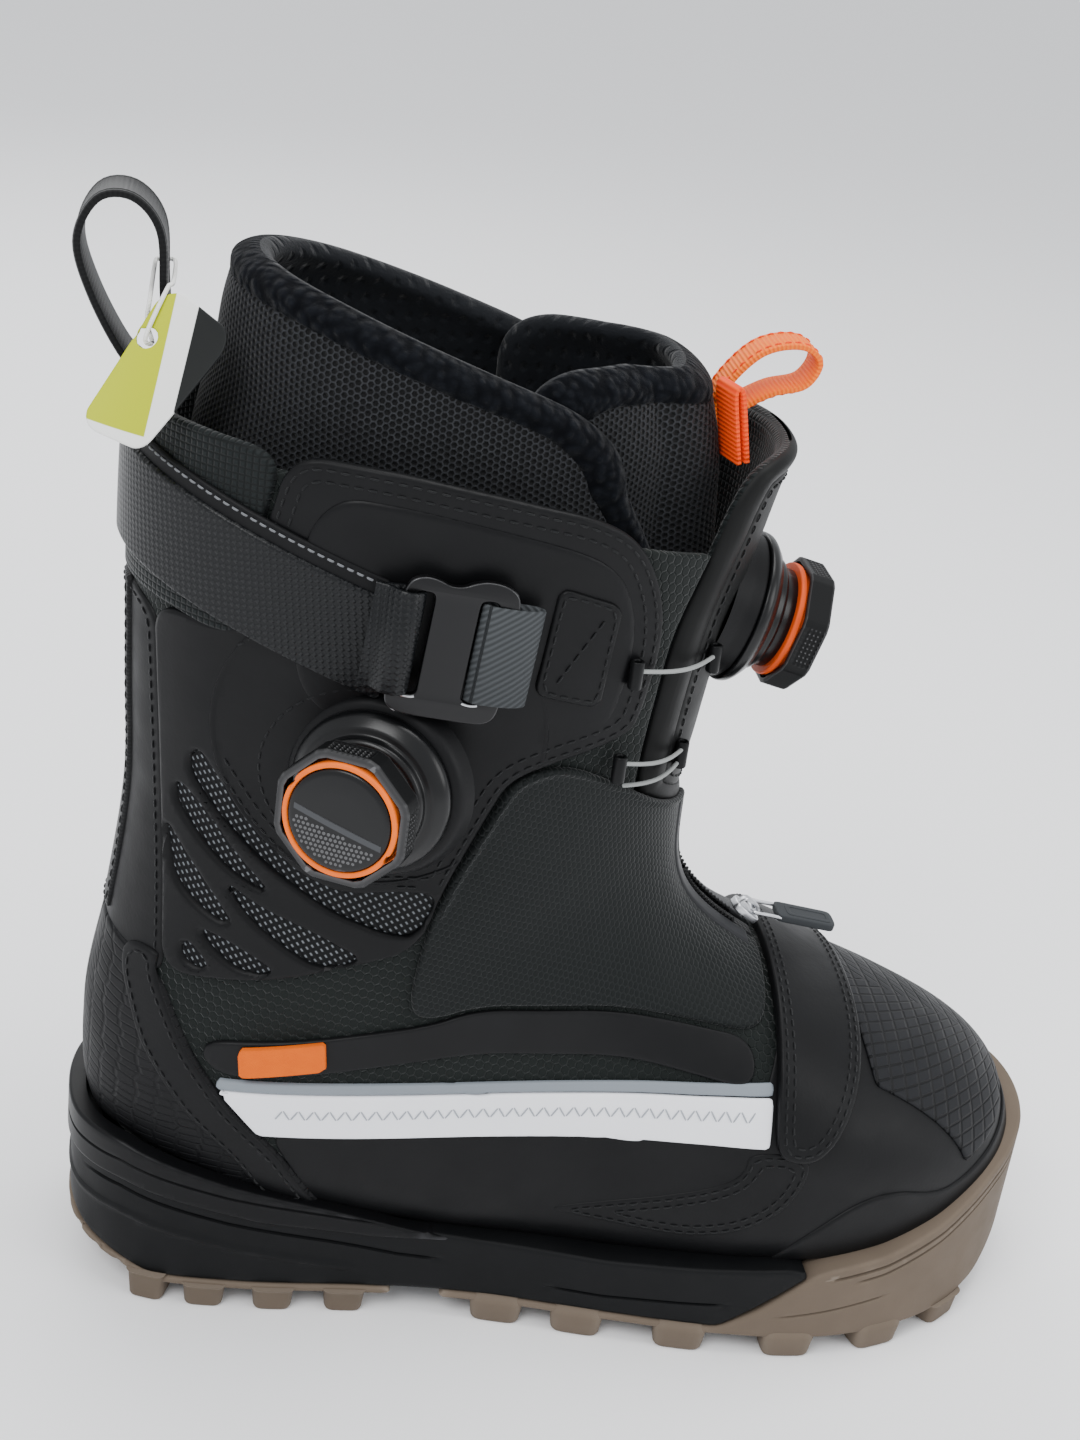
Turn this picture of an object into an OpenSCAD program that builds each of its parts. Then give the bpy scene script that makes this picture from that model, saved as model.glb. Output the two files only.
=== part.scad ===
// Snowboard boot, right foot: a soft outer boot with two reel dials, a power strap, a zipped lace
// shroud and a removable padded liner. +X is the toe, +Y is the inner side, +Z is up, in millimetres.

/* [Outer boot] */
// Wall of the outer boot
shell_wall = 2.4; // [1.6:0.2:3]
// Thickness of the panels sewn to the outer boot
panel_wall = 1.6; // [1:0.2:2]
// Gap between neighbouring layers
layer_gap = 0.6; // [0.4:0.1:0.8]
// Half of the gap left between neighbouring panels
seam = 0.4; // [0.3:0.1:1]
// Half width of the lace shroud's zip slot
zip_slot = 7.5; // [6:0.5:9]

/* [Liner] */
// Thickness of the padded liner
liner_wall = 7; // [5:0.5:9]
// Gap between the liner and the outer boot
liner_gap = 4.8; // [4.8:0.2:6]

/* [Dials] */
// Radius of the grip across its flats
grip_r = 18.6; // [18.2:0.1:20]
// Height of the grip
grip_h = 8; // [6:0.5:9]
// How far a dial pulls out to let the lace go
dial_travel = 2.5; // [1:0.5:2.5]

/* [Strap] */
// Height of the power strap
strap_w = 30; // [24:1:34]
// Thickness of the strap
strap_t = 2; // [1.4:0.2:2.4]

/* [Loft] */
// Points round each rib of the boot's shape
loop_points = 24; // [16:4:36]

/* [Hidden] */

// The row's origin is under the middle of the boot; the shapes below are measured from the heel
origin = [155, -11.28, 0];

// The boot's shape is a fan of ribs from the toe round the heel and up the leg. Each rib has its
// sole or back point (x, z), its top or front point (x, z), its outer and inner half widths, its
// centre line's y, and how square its sole or back half and its top half are.
RIBS = [
    [311, 44, 311, 54, 9, 9, 12, 2.2, 2.1],
    [306, 32, 305, 68, 27, 27, 11, 2.4, 2.1],
    [294, 25, 291, 80, 42, 40, 9, 2.9, 2.1],
    [270, 22, 267, 93, 54, 50, 6, 3.4, 2.1],
    [240, 20, 240, 105, 59, 57, 3, 4, 2.1],
    [210, 20, 219, 115, 58, 58, 1, 4, 2.1],
    [175, 20, 203, 124, 52, 54, 0, 4, 2.1],
    [135, 22, 191, 133, 47, 48, 0, 4, 2.2],
    [90, 26, 183, 143, 45, 45, 0, 4, 2.3],
    [40, 32, 179, 155, 45, 45, 0, 3, 2.3],
    [9, 54, 178, 168, 45, 45, 0, 2.5, 2.3],
    [4, 90, 178, 182, 46, 45, 0, 2.2, 2.3],
    [10, 130, 180, 199, 47, 46, 0, 2.1, 2.3],
    [14, 168, 182, 218, 49, 48, 0, 2.1, 2.3],
    [13, 205, 185, 238, 51, 50, 0, 2.1, 2.3],
    [12, 240, 189, 258, 53, 52, 0, 2.1, 2.3],
    [12, 270, 192, 274, 55, 54, 0, 2.1, 2.3],
    [13, 292, 195, 288, 56, 55, 0, 2.1, 2.3]];
LAST = len(RIBS) - 1;

// The liner's collar above the outer boot, as back point, front point and half width
COLLAR = [[24, 256, 176, 248, 44], [26, 276, 174, 266, 44], [31, 296, 172, 284, 44],
    [34, 316, 168, 298, 43], [40, 332, 163, 308, 39]];

// Plan of the sole, from the heel along the outer side to the toe and back
SOLE_PLAN = [[0, 0], [5, -22], [24, -37], [56, -42], [95, -43], [130, -46], [170, -54], [205, -60],
    [240, -61], [272, -52], [297, -34], [312, -12], [316, 12], [311, 34], [297, 50], [272, 61],
    [240, 65], [205, 62], [170, 54], [130, 47], [90, 44], [50, 43], [22, 37], [5, 22]];
// Top edge of the sole, seen from the side
SOLE_TOP = [[-8, 50], [17, 50], [51, 42], [82, 37], [104, 33], [129, 31], [169, 30], [200, 32],
    [226, 34], [240, 35], [258, 38], [278, 45], [298, 55], [330, 64]];
foxing_rise = 9;
foxing_end = 118;
tread = 5;
sole_step = 9.4;
mid_front = 232;

// Seams of the panels, seen from the side
COUNTER_FRONT = [[24, 119], [34, 96], [48, 76], [64, 60], [84, 30]];
QUARTER_BACK = [[26, 119], [57, 124], [99, 138]];
QUARTER_FRONT = [[104, 158], [115, 187], [119, 196], [133, 202]];
BAND = [[37, 99], [70, 104], [105, 111], [119, 117], [161, 116], [206, 107], [206, 94], [163, 102],
    [120, 102], [68, 91], [43, 88]];
STRIPE = [[52, 83], [206, 92], [206, 77], [64, 68]];
CUFF_EDGE = [[52, 286], [80, 285], [107, 281], [134, 276], [146, 269], [154, 254], [157, 238], [154, 212]];
CUFF_LOW = [[146, 205], [90, 218], [45, 228]];
QUARTER = concat(QUARTER_BACK, QUARTER_FRONT, CUFF_LOW, [[18, 234], [21, 194], [24, 150]]);
CUFF = concat(CUFF_EDGE, CUFF_LOW, [[44, 250]]);
SHROUD_TOP = [[120, 196], [134, 201], [152, 192], [172, 178], [196, 168]];

// The tongue, seen from the front
TONGUE_EDGE = [[31, 165], [36, 205], [39, 240], [38, 286]];
TONGUE_TOP = [[0, 286]];
THROAT_TOP = [[42, 330], [0, 330]];
tongue_clear = 1.2;

// Dials: centre of the flange's outer face, turn about Z, tilt from Z
SIDE_DIAL = [[79, -61, 196], -115, 86.5];
FRONT_DIAL = [[190, 0, 232], 0, 105];
flange_h = 2.5;
housing_r = 15;
spindle_r = 1.5;

// Zip: the slider's middle, and the zip's slope
slider_at = [207, 0.5, 126.8];
zip_slope = 38;
puller_slope = 10;

strap_slope = 20;
strap_rear = [2, 264];
strap_split = 24;
strap_end = 84;
strap_out = layer_gap * 2 + panel_wall;

buckle_at = [97, -60, 240];
buckle_size = [31, 40, 2.4];
slot_size = [5, 30];
rear_bar = [-13.8, 1.2];

// The tag's hole, its turn and its lean, and the route of its string round the pull loop's front leg
tag_hole = [14.5, -20, 304];
tag_hole_r = 3;
tag_turn = -34;
tag_lean = -37;
STRING = [[15.5, -18.5, 302.7], [13.8, -14.4, 307], [14.3, -12.5, 313.5], [14.5, 8, 317],
    [15.2, 10.2, 317.5], [18.5, 10.4, 317.8], [19.9, 8, 317.5], [19.9, -11.5, 317], [18.6, -14, 316.1],
    [13.8, -21, 304.9], [15.5, -18.5, 302.7]];

function between(a, b, c, d, f) = 0.5 * (2 * b + (c - a) * f + (2 * a - 5 * b + 4 * c - d) * f * f
    + (3 * b - a - 3 * c + d) * f * f * f);
function rib(t) = let (k = min(floor(t), LAST - 1))
    between(RIBS[max(k - 1, 0)], RIBS[k], RIBS[k + 1], RIBS[min(k + 2, LAST)], t - k);
function rounded(v, square) = sign(v) * pow(abs(v), 2 / square);
// A closed loop of points: back point, front point, half widths, centre line and squareness of a rib
function loop_of(r, grow) = let (
    back = [r[0], r[1]], front = [r[2], r[3]], middle = (back + front) / 2,
    reach = (front - back) / 2, longer = max(0.2, 1 + grow / norm(reach)))
    [for (i = [0:loop_points - 1]) let (
        angle = 360 * i / loop_points, square = cos(angle) > 0 ? r[8] : r[7],
        along = middle + reach * longer * rounded(cos(angle), square),
        side = rounded(sin(angle), square), wide = max(1, (side < 0 ? r[4] : r[5]) + grow))
        [along[0], r[6] + wide * side, along[1]]];
function boot_loop(t, grow) = let (toe = grow * max(0, 1 - t / 3))
    loop_of(rib(t) + [toe, 0, toe, 0, 0, 0, 0, 0, 0], grow);
function collar_loop(c, grow) = loop_of([c[0], c[1], c[2], c[3], c[4], c[4], 0, 2.2, 2.4], grow);
function ring_spline(p, steps) = let (n = len(p)) [for (i = [0:n - 1], s = [0:steps - 1])
    between(p[(i + n - 1) % n], p[i], p[(i + 1) % n], p[(i + 2) % n], s / steps)];
function raised(line, by) = [for (p = line) [p[0], p[1] + by]];
function foxing_line(by) = [for (p = SOLE_TOP)
    [p[0], p[1] + by + foxing_rise * max(0, 1 - max(p[0], 0) / foxing_end)]];
function mirrored(line) = [for (p = line) [-p[0], p[1]]];
function both_edges(line) = concat(line, backwards(mirrored(line)));
function backwards(line) = [for (i = [len(line) - 1:-1:0]) line[i]];

module at_origin() translate(-origin) children();
module both_sides() {
    children();
    mirror([0, 1, 0]) children();
}
// The space between two loops of points
module between_loops(a, b) let (n = loop_points) hull() polyhedron(concat(a, b), concat(
    [[for (k = [0:n - 1]) k]], [[for (k = [n - 1:-1:0]) n + k]],
    [for (k = [0:n - 1]) let (m = (k + 1) % n) each [[k, n + k, n + m], [k, n + m, m]]]));
// The boot's shape, grown by a distance
module boot_form(grow)
    for (i = [0:2 * LAST - 1]) between_loops(boot_loop(i / 2, grow), boot_loop((i + 1) / 2, grow));
// The liner's shape: the boot's shape up to the cuff, then the collar
module liner_form(grow) {
    for (i = [0:27]) between_loops(boot_loop(i / 2, grow - liner_gap - layer_gap * 3),
        boot_loop((i + 1) / 2, grow - liner_gap - layer_gap * 3));
    between_loops(boot_loop(14, grow - liner_gap - layer_gap * 3), collar_loop(COLLAR[0], grow));
    for (i = [0:len(COLLAR) - 2]) between_loops(collar_loop(COLLAR[i], grow), collar_loop(COLLAR[i + 1], grow));
}
// Everything inside an outline seen from the outer side, on that side only
module seen_from_side(outline, gap = seam, depth = 130)
    rotate([90, 0, 0]) linear_extrude(depth) offset(delta = -gap) polygon(outline);
// Everything inside an outline seen from the side, right through the boot
module through_side(outline, gap = 0)
    translate([0, 130, 0]) seen_from_side(outline, gap, 260);
// Everything inside an outline seen from the front
module seen_from_front(outline, gap = 0)
    translate([100, 0, 0]) rotate([90, 0, 90]) linear_extrude(140) offset(delta = gap) polygon(outline);
module above_sole()
    through_side(concat(foxing_line(layer_gap), [[330, 330], [-20, 330]]));
// A layer of the given thickness over the boot's shape
module layer(start, thick) difference() {
    boot_form(start + thick);
    boot_form(start);
}
// A panel of the first layer, on the "lateral", the "medial" or both sides
module first_layer(outline, side = "lateral") intersection() {
    layer(layer_gap, panel_wall);
    above_sole();
    if (side == "lateral") seen_from_side(outline);
    if (side == "medial") mirror([0, 1, 0]) seen_from_side(outline);
    if (side == "both") through_side(outline, seam);
}
module sole_block(outline, inset, height = 90) difference() {
    intersection() {
        linear_extrude(height) offset(delta = -inset) polygon(ring_spline(SOLE_PLAN, 4));
        through_side(outline);
    }
    boot_form(layer_gap);
}
module lug(x, y, length, width) translate([x - length / 2, y - width / 2, 0]) cube([length, width, tread + 1]);

// ---- Sole ----
module outsole() color("#7d7468") at_origin() {
    sole_block([[118, tread], [118, sole_step], [206, sole_step], [218, 18], [mid_front + 1, 33],
        [240, 35], [258, 38], [278, 45], [298, 55], [330, 64], [330, 34], [314, 22], [300, 9],
        [286, tread]], 0);
    for (x = [150, 178, 206, 234]) {
        lug(x, x > 160 ? -48 : -38, 16, 17);
        lug(x + 3, x > 160 ? 50 : 40, 16, 17);
        lug(x + 8, 14, 14, 20);
        lug(x + 6, -16, 14, 20);
    }
    lug(262, -36, 15, 18);
    lug(262, 44, 15, 18);
    lug(268, -6, 14, 20);
    lug(268, 20, 14, 20);
}
module heel_tread() color("#7d7468") at_origin() {
    sole_block([[8, 12], [30, tread], [102, tread], [102, sole_step], [28, sole_step], [8, 15.4]], 2);
    for (x = [40, 66, 92]) both_sides() {
        lug(x, -30, 16, 15);
        lug(x + 2, -9, 14, 12);
    }
}
module midsole() color("#1d1e20") at_origin() sole_block(concat(
    [for (p = SOLE_TOP) if (p[0] <= mid_front) p],
    [[mid_front, 32.4], [217, 18.6], [206, sole_step + 0.6], [26, sole_step + 0.6], [6, 17], [-8, 26]]), 0);
module heel_foxing() color("#232427") at_origin() sole_block(concat(
    [for (p = SOLE_TOP) if (p[0] < foxing_end) p + [0, layer_gap]], [[foxing_end, 32.4]],
    backwards([for (p = foxing_line(0)) if (p[0] < foxing_end) p])), 1.6);
module lasting_board() color("#8a7a5c") at_origin() intersection() {
    layer(-shell_wall - 1.8, 1.4);
    through_side([[20, 0], [24, 44], [60, 37], [130, 32], [230, 30], [285, 34], [290, 0]]);
}

// ---- Outer boot ----
module outer_shell() color("#24292a") at_origin() difference() {
    layer(-shell_wall, shell_wall);
    seen_from_front(both_edges(concat(TONGUE_EDGE, THROAT_TOP)), tongue_clear + 0.4);
    through_side([[-20, 283], [60, 279], [150, 266], [230, 252], [230, 330], [-20, 330]]);
}
module toe_cap() color("#1a1b1d") at_origin() first_layer(
    [[238, 130], [244, 104], [252, 82], [262, 68], [278, 60], [296, 64], [330, 76], [330, 130]], "both");
module toe_rand() color("#202123") at_origin() first_layer(
    [[214, 20], [224, 46], [243, 66], [254, 70], [264, 66], [279, 58], [297, 61], [330, 72],
        [330, 20]], "both");
module vamp_flap() color("#1c1d1f") at_origin() intersection() {
    layer(layer_gap * 2 + panel_wall, panel_wall);
    through_side([[216, 135], [213, 78], [227, 82], [240, 101], [240, 120], [230, 135]]);
    translate([150, -80, 60]) cube([120, 96, 90]);
}
module heel_counter() color("#1b1c1e") at_origin()
    first_layer(concat([[-20, 20], [-20, 124], [6, 124]], COUNTER_FRONT), "both");
module stripe_lateral() color("#b9bcc0") at_origin() first_layer(STRIPE);
module stripe_medial() color("#b9bcc0") at_origin() first_layer(STRIPE, "medial");
module band_lateral() color("#1d1f21") at_origin() first_layer(BAND);
module band_medial() color("#1d1f21") at_origin() first_layer(BAND, "medial");
module quarter_lateral() color("#17191b") at_origin() first_layer(QUARTER);
module quarter_medial() color("#17191b") at_origin() first_layer(QUARTER, "medial");
module side_label() color("#e58a2a") at_origin() intersection() {
    layer(layer_gap * 2 + panel_wall, 1.2);
    seen_from_side([[50, 100], [75, 105], [76, 95], [51, 90]], 0);
}
module lace_shroud() color("#222a2a") at_origin() difference() {
    intersection() {
        layer(layer_gap, panel_wall);
        through_side(concat([[100, 139], [104, 157], [116, 187]], SHROUD_TOP, [[212, 150], [212, 115],
            [207, 108], [161, 117.5], [119, 118.5], [105, 113], [98, 116]]), seam);
    }
    translate([140, -zip_slot, 100]) cube([80, 2 * zip_slot, 50]);
}
module zip_tape() color("#101112") at_origin() intersection() {
    layer(layer_gap, 1.4);
    translate([170, 1 - zip_slot, 112]) cube([41, 2 * zip_slot - 2, 36]);
}
module cuff_lateral() color("#17191b") at_origin() first_layer(CUFF);
module cuff_medial() color("#17191b") at_origin() first_layer(CUFF, "medial");
module rear_gusset() color("#121314") at_origin()
    first_layer([[-20, 236], [18, 235], [44, 229], [43, 250], [50, 285], [20, 287], [-20, 287]], "both");
module back_stay() color("#1b1c1d") at_origin() intersection() {
    layer(layer_gap, panel_wall);
    through_side([[-20, 126], [7, 126], [23, 121], [21, 150], [18, 194], [15, 234], [-20, 234]], seam);
    translate([-20, -9, 100]) cube([60, 18, 140]);
}

// ---- Pull loop and tag ----
// A ring of webbing: an outline seen from the side, as wide as the webbing along Y
module webbing_ring(outline, thick, width) translate([0, width / 2, 0]) rotate([90, 0, 0])
    linear_extrude(width) difference() {
        offset(r = thick / 2) polygon(outline);
        offset(r = -thick / 2) polygon(outline);
    }
module heel_pull_loop() color("#17181a") at_origin() translate([0, -2, 0]) webbing_ring(
    ring_spline([[17.8, 262], [17.8, 286], [8, 296], [-1, 312], [-5, 326], [0, 337], [9, 338], [16, 330],
        [17.5, 314], [19.2, 296], [20.6, 286], [20.6, 262]], 4), 2, 19);
module hang_tag() color("#d5dc3a") at_origin() translate(tag_hole) rotate([0, 0, tag_turn])
    rotate([tag_lean, 0, 0]) rotate([90, 0, 0]) translate([0, 0, -0.5]) linear_extrude(1) difference() {
        hull() {
            translate([4, 8]) circle(6, $fn = 32);
            translate([17, 2]) circle(7, $fn = 32);
            translate([-2, -23]) circle(5, $fn = 32);
            translate([9, -24]) circle(5, $fn = 32);
        }
        circle(tag_hole_r);
    }
module tag_string() color("#e8e8e4") at_origin() for (i = [0:len(STRING) - 2]) hull() {
    translate(STRING[i]) sphere(r = 0.6, $fn = 8);
    translate(STRING[i + 1]) sphere(r = 0.6, $fn = 8);
}

// ---- Power strap ----
// The strip of the strap, seen from the side
function strap_outline(start, finish) = let (drop = tan(strap_slope), low = strap_rear[1] - strap_w / 2)
    [for (p = [[start, 0], [finish, 0], [finish, strap_w], [start, strap_w]])
        [p[0], low + p[1] - drop * max(0, p[0] - strap_rear[0]) ]];
module strap_layer() layer(strap_out, strap_t);
module strap_back() color("#1a1c1f") at_origin() intersection() {
    strap_layer();
    union() {
        seen_from_side(strap_outline(-12, strap_split - 1), 0);
        mirror([0, 1, 0]) seen_from_side(strap_outline(-12, 96), 0);
    }
}
// The strap's front end is sewn into a small loop round the buckle's rear bar
module strap_front() color("#1a1c1f") at_origin() {
    intersection() {
        strap_layer();
        seen_from_side(strap_outline(strap_split + 1.2, strap_end), 0);
    }
    at_buckle() translate([rear_bar[0], 13, rear_bar[1]]) rotate([90, 0, 0]) difference() {
        cylinder(r = 3.4, h = 26);
        translate([0, 0, -1]) cylinder(r = 2.4, h = 28);
    }
}
// Buckle frame: x along the boot, y up, z outwards
module at_buckle() translate(buckle_at) rotate([90, 0, 0]) rotate([-3, 0, -6]) children();
module strap_buckle() color("#15161a") at_origin() at_buckle() linear_extrude(buckle_size[2]) difference() {
    hull() for (x = [-1, 1], y = [-1, 1])
        translate([x * (buckle_size[0] / 2 - 4), y * (buckle_size[1] / 2 - 4)]) circle(4);
    translate([-9.6, 0]) square(slot_size, center = true);
    translate([7.4, 0]) square(slot_size, center = true);
}
module buckle_webbing() color("#6f7478") at_origin() at_buckle() translate([0, -14, 0]) rotate([-90, 0, 0])
    linear_extrude(28) difference() {
        hull() {
            translate([8.6, 0]) circle(1.6);
            translate([8.6, -2.4]) circle(1.6);
            translate([21, -1.2]) circle(2.8);
        }
        hull() {
            translate([9.4, -0.2]) circle(0.8);
            translate([9.4, -2.2]) circle(0.8);
            translate([19, -1.2]) circle(1.6);
        }
    }
module buckle_anchor() color("#1b1d20") at_origin() intersection() {
    layer(strap_out, 1.6);
    seen_from_side([[124, 222], [139, 218], [141, 250], [126, 256]], 0);
}

// ---- Tongue ----
module tongue_part(start, thick, inset) intersection() {
    layer(start, thick);
    seen_from_front(both_edges(concat(TONGUE_EDGE, TONGUE_TOP)), -inset);
    through_side([[130, 205], [154, 195], [174, 181], [186.5, 173 + inset], [230, 170],
        [230, 300], [130, 300]]);
}
module tongue_shell() color("#1a1b1c") at_origin() tongue_part(-2.6, 2.4, 0);
module tongue_padding() color("#101112") at_origin() tongue_part(-4.6, 1.7, 2);
// A loop guide for the lace: a short half-round loop on a base, standing along Z
module lace_guide(at, turn) translate(at) rotate([0, 0, turn]) {
    difference() {
        translate([0, 0, -6]) cylinder(r = 2.6, h = 12);
        translate([0, 0, -7]) cylinder(r = 1.3, h = 14);
    }
}
GUIDE_ROWS = [[196, 175, 148], [226, 176, 150]];
module tongue_lace_guides() color("#26282a") at_origin() for (row = GUIDE_ROWS) both_sides()
    lace_guide([row[1] + 5.5, -26, row[0]], 0);
module cuff_lace_guides() color("#26282a") at_origin() for (row = GUIDE_ROWS) both_sides()
    lace_guide([row[2] - 1, -49.6, row[0] + 3], 0);
// A straight run of lace between two points
module lace(a, b) let (d = b - a)
    translate(a) rotate([0, acos(d[2] / norm(d)), atan2(d[1], d[0])]) cylinder(r = 0.8, h = norm(d));
module lace_cables() color("#b8bcb9") at_origin() for (row = GUIDE_ROWS) both_sides() {
    lace([row[1] + 6, -29.5, row[0] + 1], [row[2] + 3.5, -47.5, row[0] + 4]);
    lace([row[1] + 6, -29.5, row[0] - 3], [row[2] + 3.5, -47.5, row[0] - 1]);
}

// ---- Dials ----
module at_dial(d) translate(d[0]) rotate([0, 0, d[1]]) rotate([0, d[2], 0]) children();
module dial_pod(d, start, wide) difference() {
    at_dial(d) translate([0, 0, -30]) cylinder(r1 = wide + 3, r2 = wide, h = 30 - flange_h);
    boot_form(start);
    at_dial(d) translate([0, 0, -80]) cylinder(r = 60, h = 50);
}
// Each dial is drawn with its flange's outer face at z = 0
module dial_base() difference() {
    union() {
        translate([0, 0, -flange_h]) cylinder(r = 23, h = flange_h);
        cylinder(r1 = 21, r2 = 19.6, h = 3);
        translate([0, 0, 3]) cylinder(r = 17.4, h = 3);
        translate([0, 0, 6]) cylinder(r = housing_r, h = 5.2);
    }
    translate([0, 0, 1.5]) cylinder(r = 10.6, h = 20);
    translate([0, 0, -5]) cylinder(r = spindle_r + 0.02, h = 10);
}
module dial_spool() difference() {
    union() {
        translate([0, 0, 1.8]) cylinder(r = 10.2, h = 1.4);
        translate([0, 0, 3.2]) cylinder(r = 7, h = 4);
        translate([0, 0, 7.2]) cylinder(r = 10.2, h = 2.4);
    }
    cylinder(r = spindle_r + 0.1, h = 30);
}
module dial_core() difference() {
    union() {
        translate([0, 0, 10]) cylinder(r = 17.3, h = 2);
        translate([0, 0, 12]) cylinder(r = 16.2, h = grip_h + 1);
        translate([0, 0, 10]) cylinder(r = 5, h = 4);
    }
    difference() {
        translate([0, 0, 9]) cylinder(r = housing_r + 0.5, h = 3);
        translate([0, 0, 8]) cylinder(r = 5, h = 6);
    }
    translate([0, 0, 14]) cylinder(r = 14.6, h = 20);
    cylinder(r = spindle_r + 0.1, h = 30);
}
module dial_grip() difference() {
    translate([0, 0, 12.2]) rotate(22.5) cylinder(r = grip_r / cos(22.5), h = grip_h, $fn = 8);
    translate([0, 0, 12]) cylinder(r = 16.25, h = 20);
}
module dial_cap() translate([0, 0, 18.6]) cylinder(r = 14.5, h = grip_h - 5.4);
module dial_screw() {
    translate([0, 0, -2]) cylinder(r = spindle_r, h = 19);
    translate([0, 0, 14.2 + dial_travel]) cylinder(r = 3, h = 1.4);
}
module side_dial_pod() color("#141517") at_origin() dial_pod(SIDE_DIAL, strap_out, 22.4);
module side_dial_base() color("#26282b") at_origin() at_dial(SIDE_DIAL) dial_base();
module side_dial_spool() color("#5a5d60") at_origin() at_dial(SIDE_DIAL) dial_spool();
module side_dial_core() color("#f07a1e") at_origin() at_dial(SIDE_DIAL) dial_core();
module side_dial_grip() color("#2b2d2f") at_origin() at_dial(SIDE_DIAL) dial_grip();
module side_dial_cap() color("#1b1d20") at_origin() at_dial(SIDE_DIAL) dial_cap();
module side_dial_screw() color("#8d9092") at_origin() at_dial(SIDE_DIAL) dial_screw();
module front_dial_pod() color("#141517") at_origin() dial_pod(FRONT_DIAL, 0.3, 19);
module front_dial_base() color("#26282b") at_origin() at_dial(FRONT_DIAL) dial_base();
module front_dial_spool() color("#5a5d60") at_origin() at_dial(FRONT_DIAL) dial_spool();
module front_dial_core() color("#d9581c") at_origin() at_dial(FRONT_DIAL) dial_core();
module front_dial_grip() color("#2b2d2f") at_origin() at_dial(FRONT_DIAL) dial_grip();
module front_dial_cap() color("#1b1d20") at_origin() at_dial(FRONT_DIAL) dial_cap();
module front_dial_screw() color("#8d9092") at_origin() at_dial(FRONT_DIAL) dial_screw();

// ---- Zip slider and puller ----
module at_slider() translate(slider_at) rotate([0, zip_slope, 0]) children();
module zip_slider() color("#9a9ca0") at_origin() at_slider() difference() {
    union() {
        translate([-5, -4, 0]) cube([10, 8, 2.6]);
        translate([-3.5, -1.5, 2.6]) cube([7, 3, 2.6]);
    }
    translate([0.5, -5, 3.7]) rotate([-90, 0, 0]) cylinder(r = 0.85, h = 10);
}
// The wire link's cross bar lies in the slider's eye, and the puller hangs from its other end
module zip_puller() color("#53575b") at_origin() at_slider() translate([0.5, 0, 3.7])
    rotate([0, puller_slope - zip_slope, 0]) {
        translate([0, -4.2, 0]) rotate([-90, 0, 0]) cylinder(r = 0.6, h = 8.4);
        for (y = [-3.8, 3.8]) translate([0, y, 0]) rotate([0, 90, 0]) cylinder(r = 0.6, h = 10);
        translate([10, -4.2, 0]) rotate([-90, 0, 0]) cylinder(r = 0.6, h = 8.4);
        translate([9, -4.5, -1.2]) cube([19, 9, 2.4]);
    }

// ---- Liner ----
liner_top = [[20, 325], [60, 314], [92, 303], [120, 297], [150, 287], [190, 284]];
module liner_opening() seen_from_front([[-24, 178], [-27, 330], [27, 330], [24, 178]]);
module liner_skin() difference() {
    liner_form(0);
    liner_form(-liner_wall);
    liner_opening();
    between_loops(collar_loop(COLLAR[3], -liner_wall), collar_loop(COLLAR[4] + [0, 12, 0, 12, 0], -liner_wall));
}
module liner_boot() color("#15161a") at_origin() intersection() {
    liner_skin();
    through_side(concat(liner_top, [[220, 280], [330, 10], [-20, 10], [-20, 325]]));
}
module liner_rim() color("#101114") at_origin() intersection() {
    liner_skin();
    through_side(concat([[-20, 325.6]], raised(liner_top, 0.6), [[220, 280.6], [220, 360], [-20, 360]]));
}
module liner_tongue() color("#131418") at_origin() intersection() {
    difference() {
        liner_form(-0.5);
        liner_form(-liner_wall);
    }
    seen_from_front([[-23, 180], [-26, 306], [26, 306], [23, 180]]);
}
module liner_sole() color("#1a1b1d") at_origin() intersection() {
    layer(-shell_wall - 4, 2);
    through_side([[18, 0], [22, 50], [60, 42], [130, 36], [230, 34], [287, 38], [292, 0]]);
}
module footbed() color("#3a3f45") at_origin() intersection() {
    difference() {
        liner_form(-liner_wall - 0.4);
        boot_form(-liner_gap - layer_gap * 3 - liner_wall - 4);
    }
    through_side([[30, 30], [40, 58], [70, 50], [130, 44], [230, 42], [280, 48], [290, 30]]);
}
module liner_pull_tab() color("#e2501f") at_origin() translate([174.5, -19, 284]) rotate([0, -12, 14])
    translate([-2, -6, 0]) cube([4, 12, 21]);
LINER_LOOP = [[171.5, 289], [173, 298], [182, 309], [193, 312], [199, 308], [196, 301],
    [187, 298], [179, 293], [176, 288]];
module liner_pull_loop() color("#f08226") at_origin() translate([0, 4, 0]) webbing_ring(
    ring_spline(LINER_LOOP, 4), 1.8, 13);

outsole();
heel_tread();
midsole();
heel_foxing();
lasting_board();
outer_shell();
toe_cap();
toe_rand();
vamp_flap();
heel_counter();
stripe_lateral();
stripe_medial();
band_lateral();
band_medial();
quarter_lateral();
quarter_medial();
side_label();
lace_shroud();
zip_tape();
zip_slider();
zip_puller();
cuff_lateral();
cuff_medial();
rear_gusset();
back_stay();
heel_pull_loop();
hang_tag();
tag_string();
strap_back();
strap_front();
strap_buckle();
buckle_webbing();
buckle_anchor();
tongue_shell();
tongue_padding();
tongue_lace_guides();
cuff_lace_guides();
lace_cables();
side_dial_pod();
side_dial_base();
side_dial_spool();
side_dial_core();
side_dial_grip();
side_dial_cap();
side_dial_screw();
front_dial_pod();
front_dial_base();
front_dial_spool();
front_dial_core();
front_dial_grip();
front_dial_cap();
front_dial_screw();
liner_boot();
liner_rim();
liner_tongue();
liner_sole();
footbed();
liner_pull_tab();
liner_pull_loop();
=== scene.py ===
import math

import bmesh
import bpy
import numpy as np
from mathutils import Matrix, Vector
from mathutils.bvhtree import BVHTree


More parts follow.
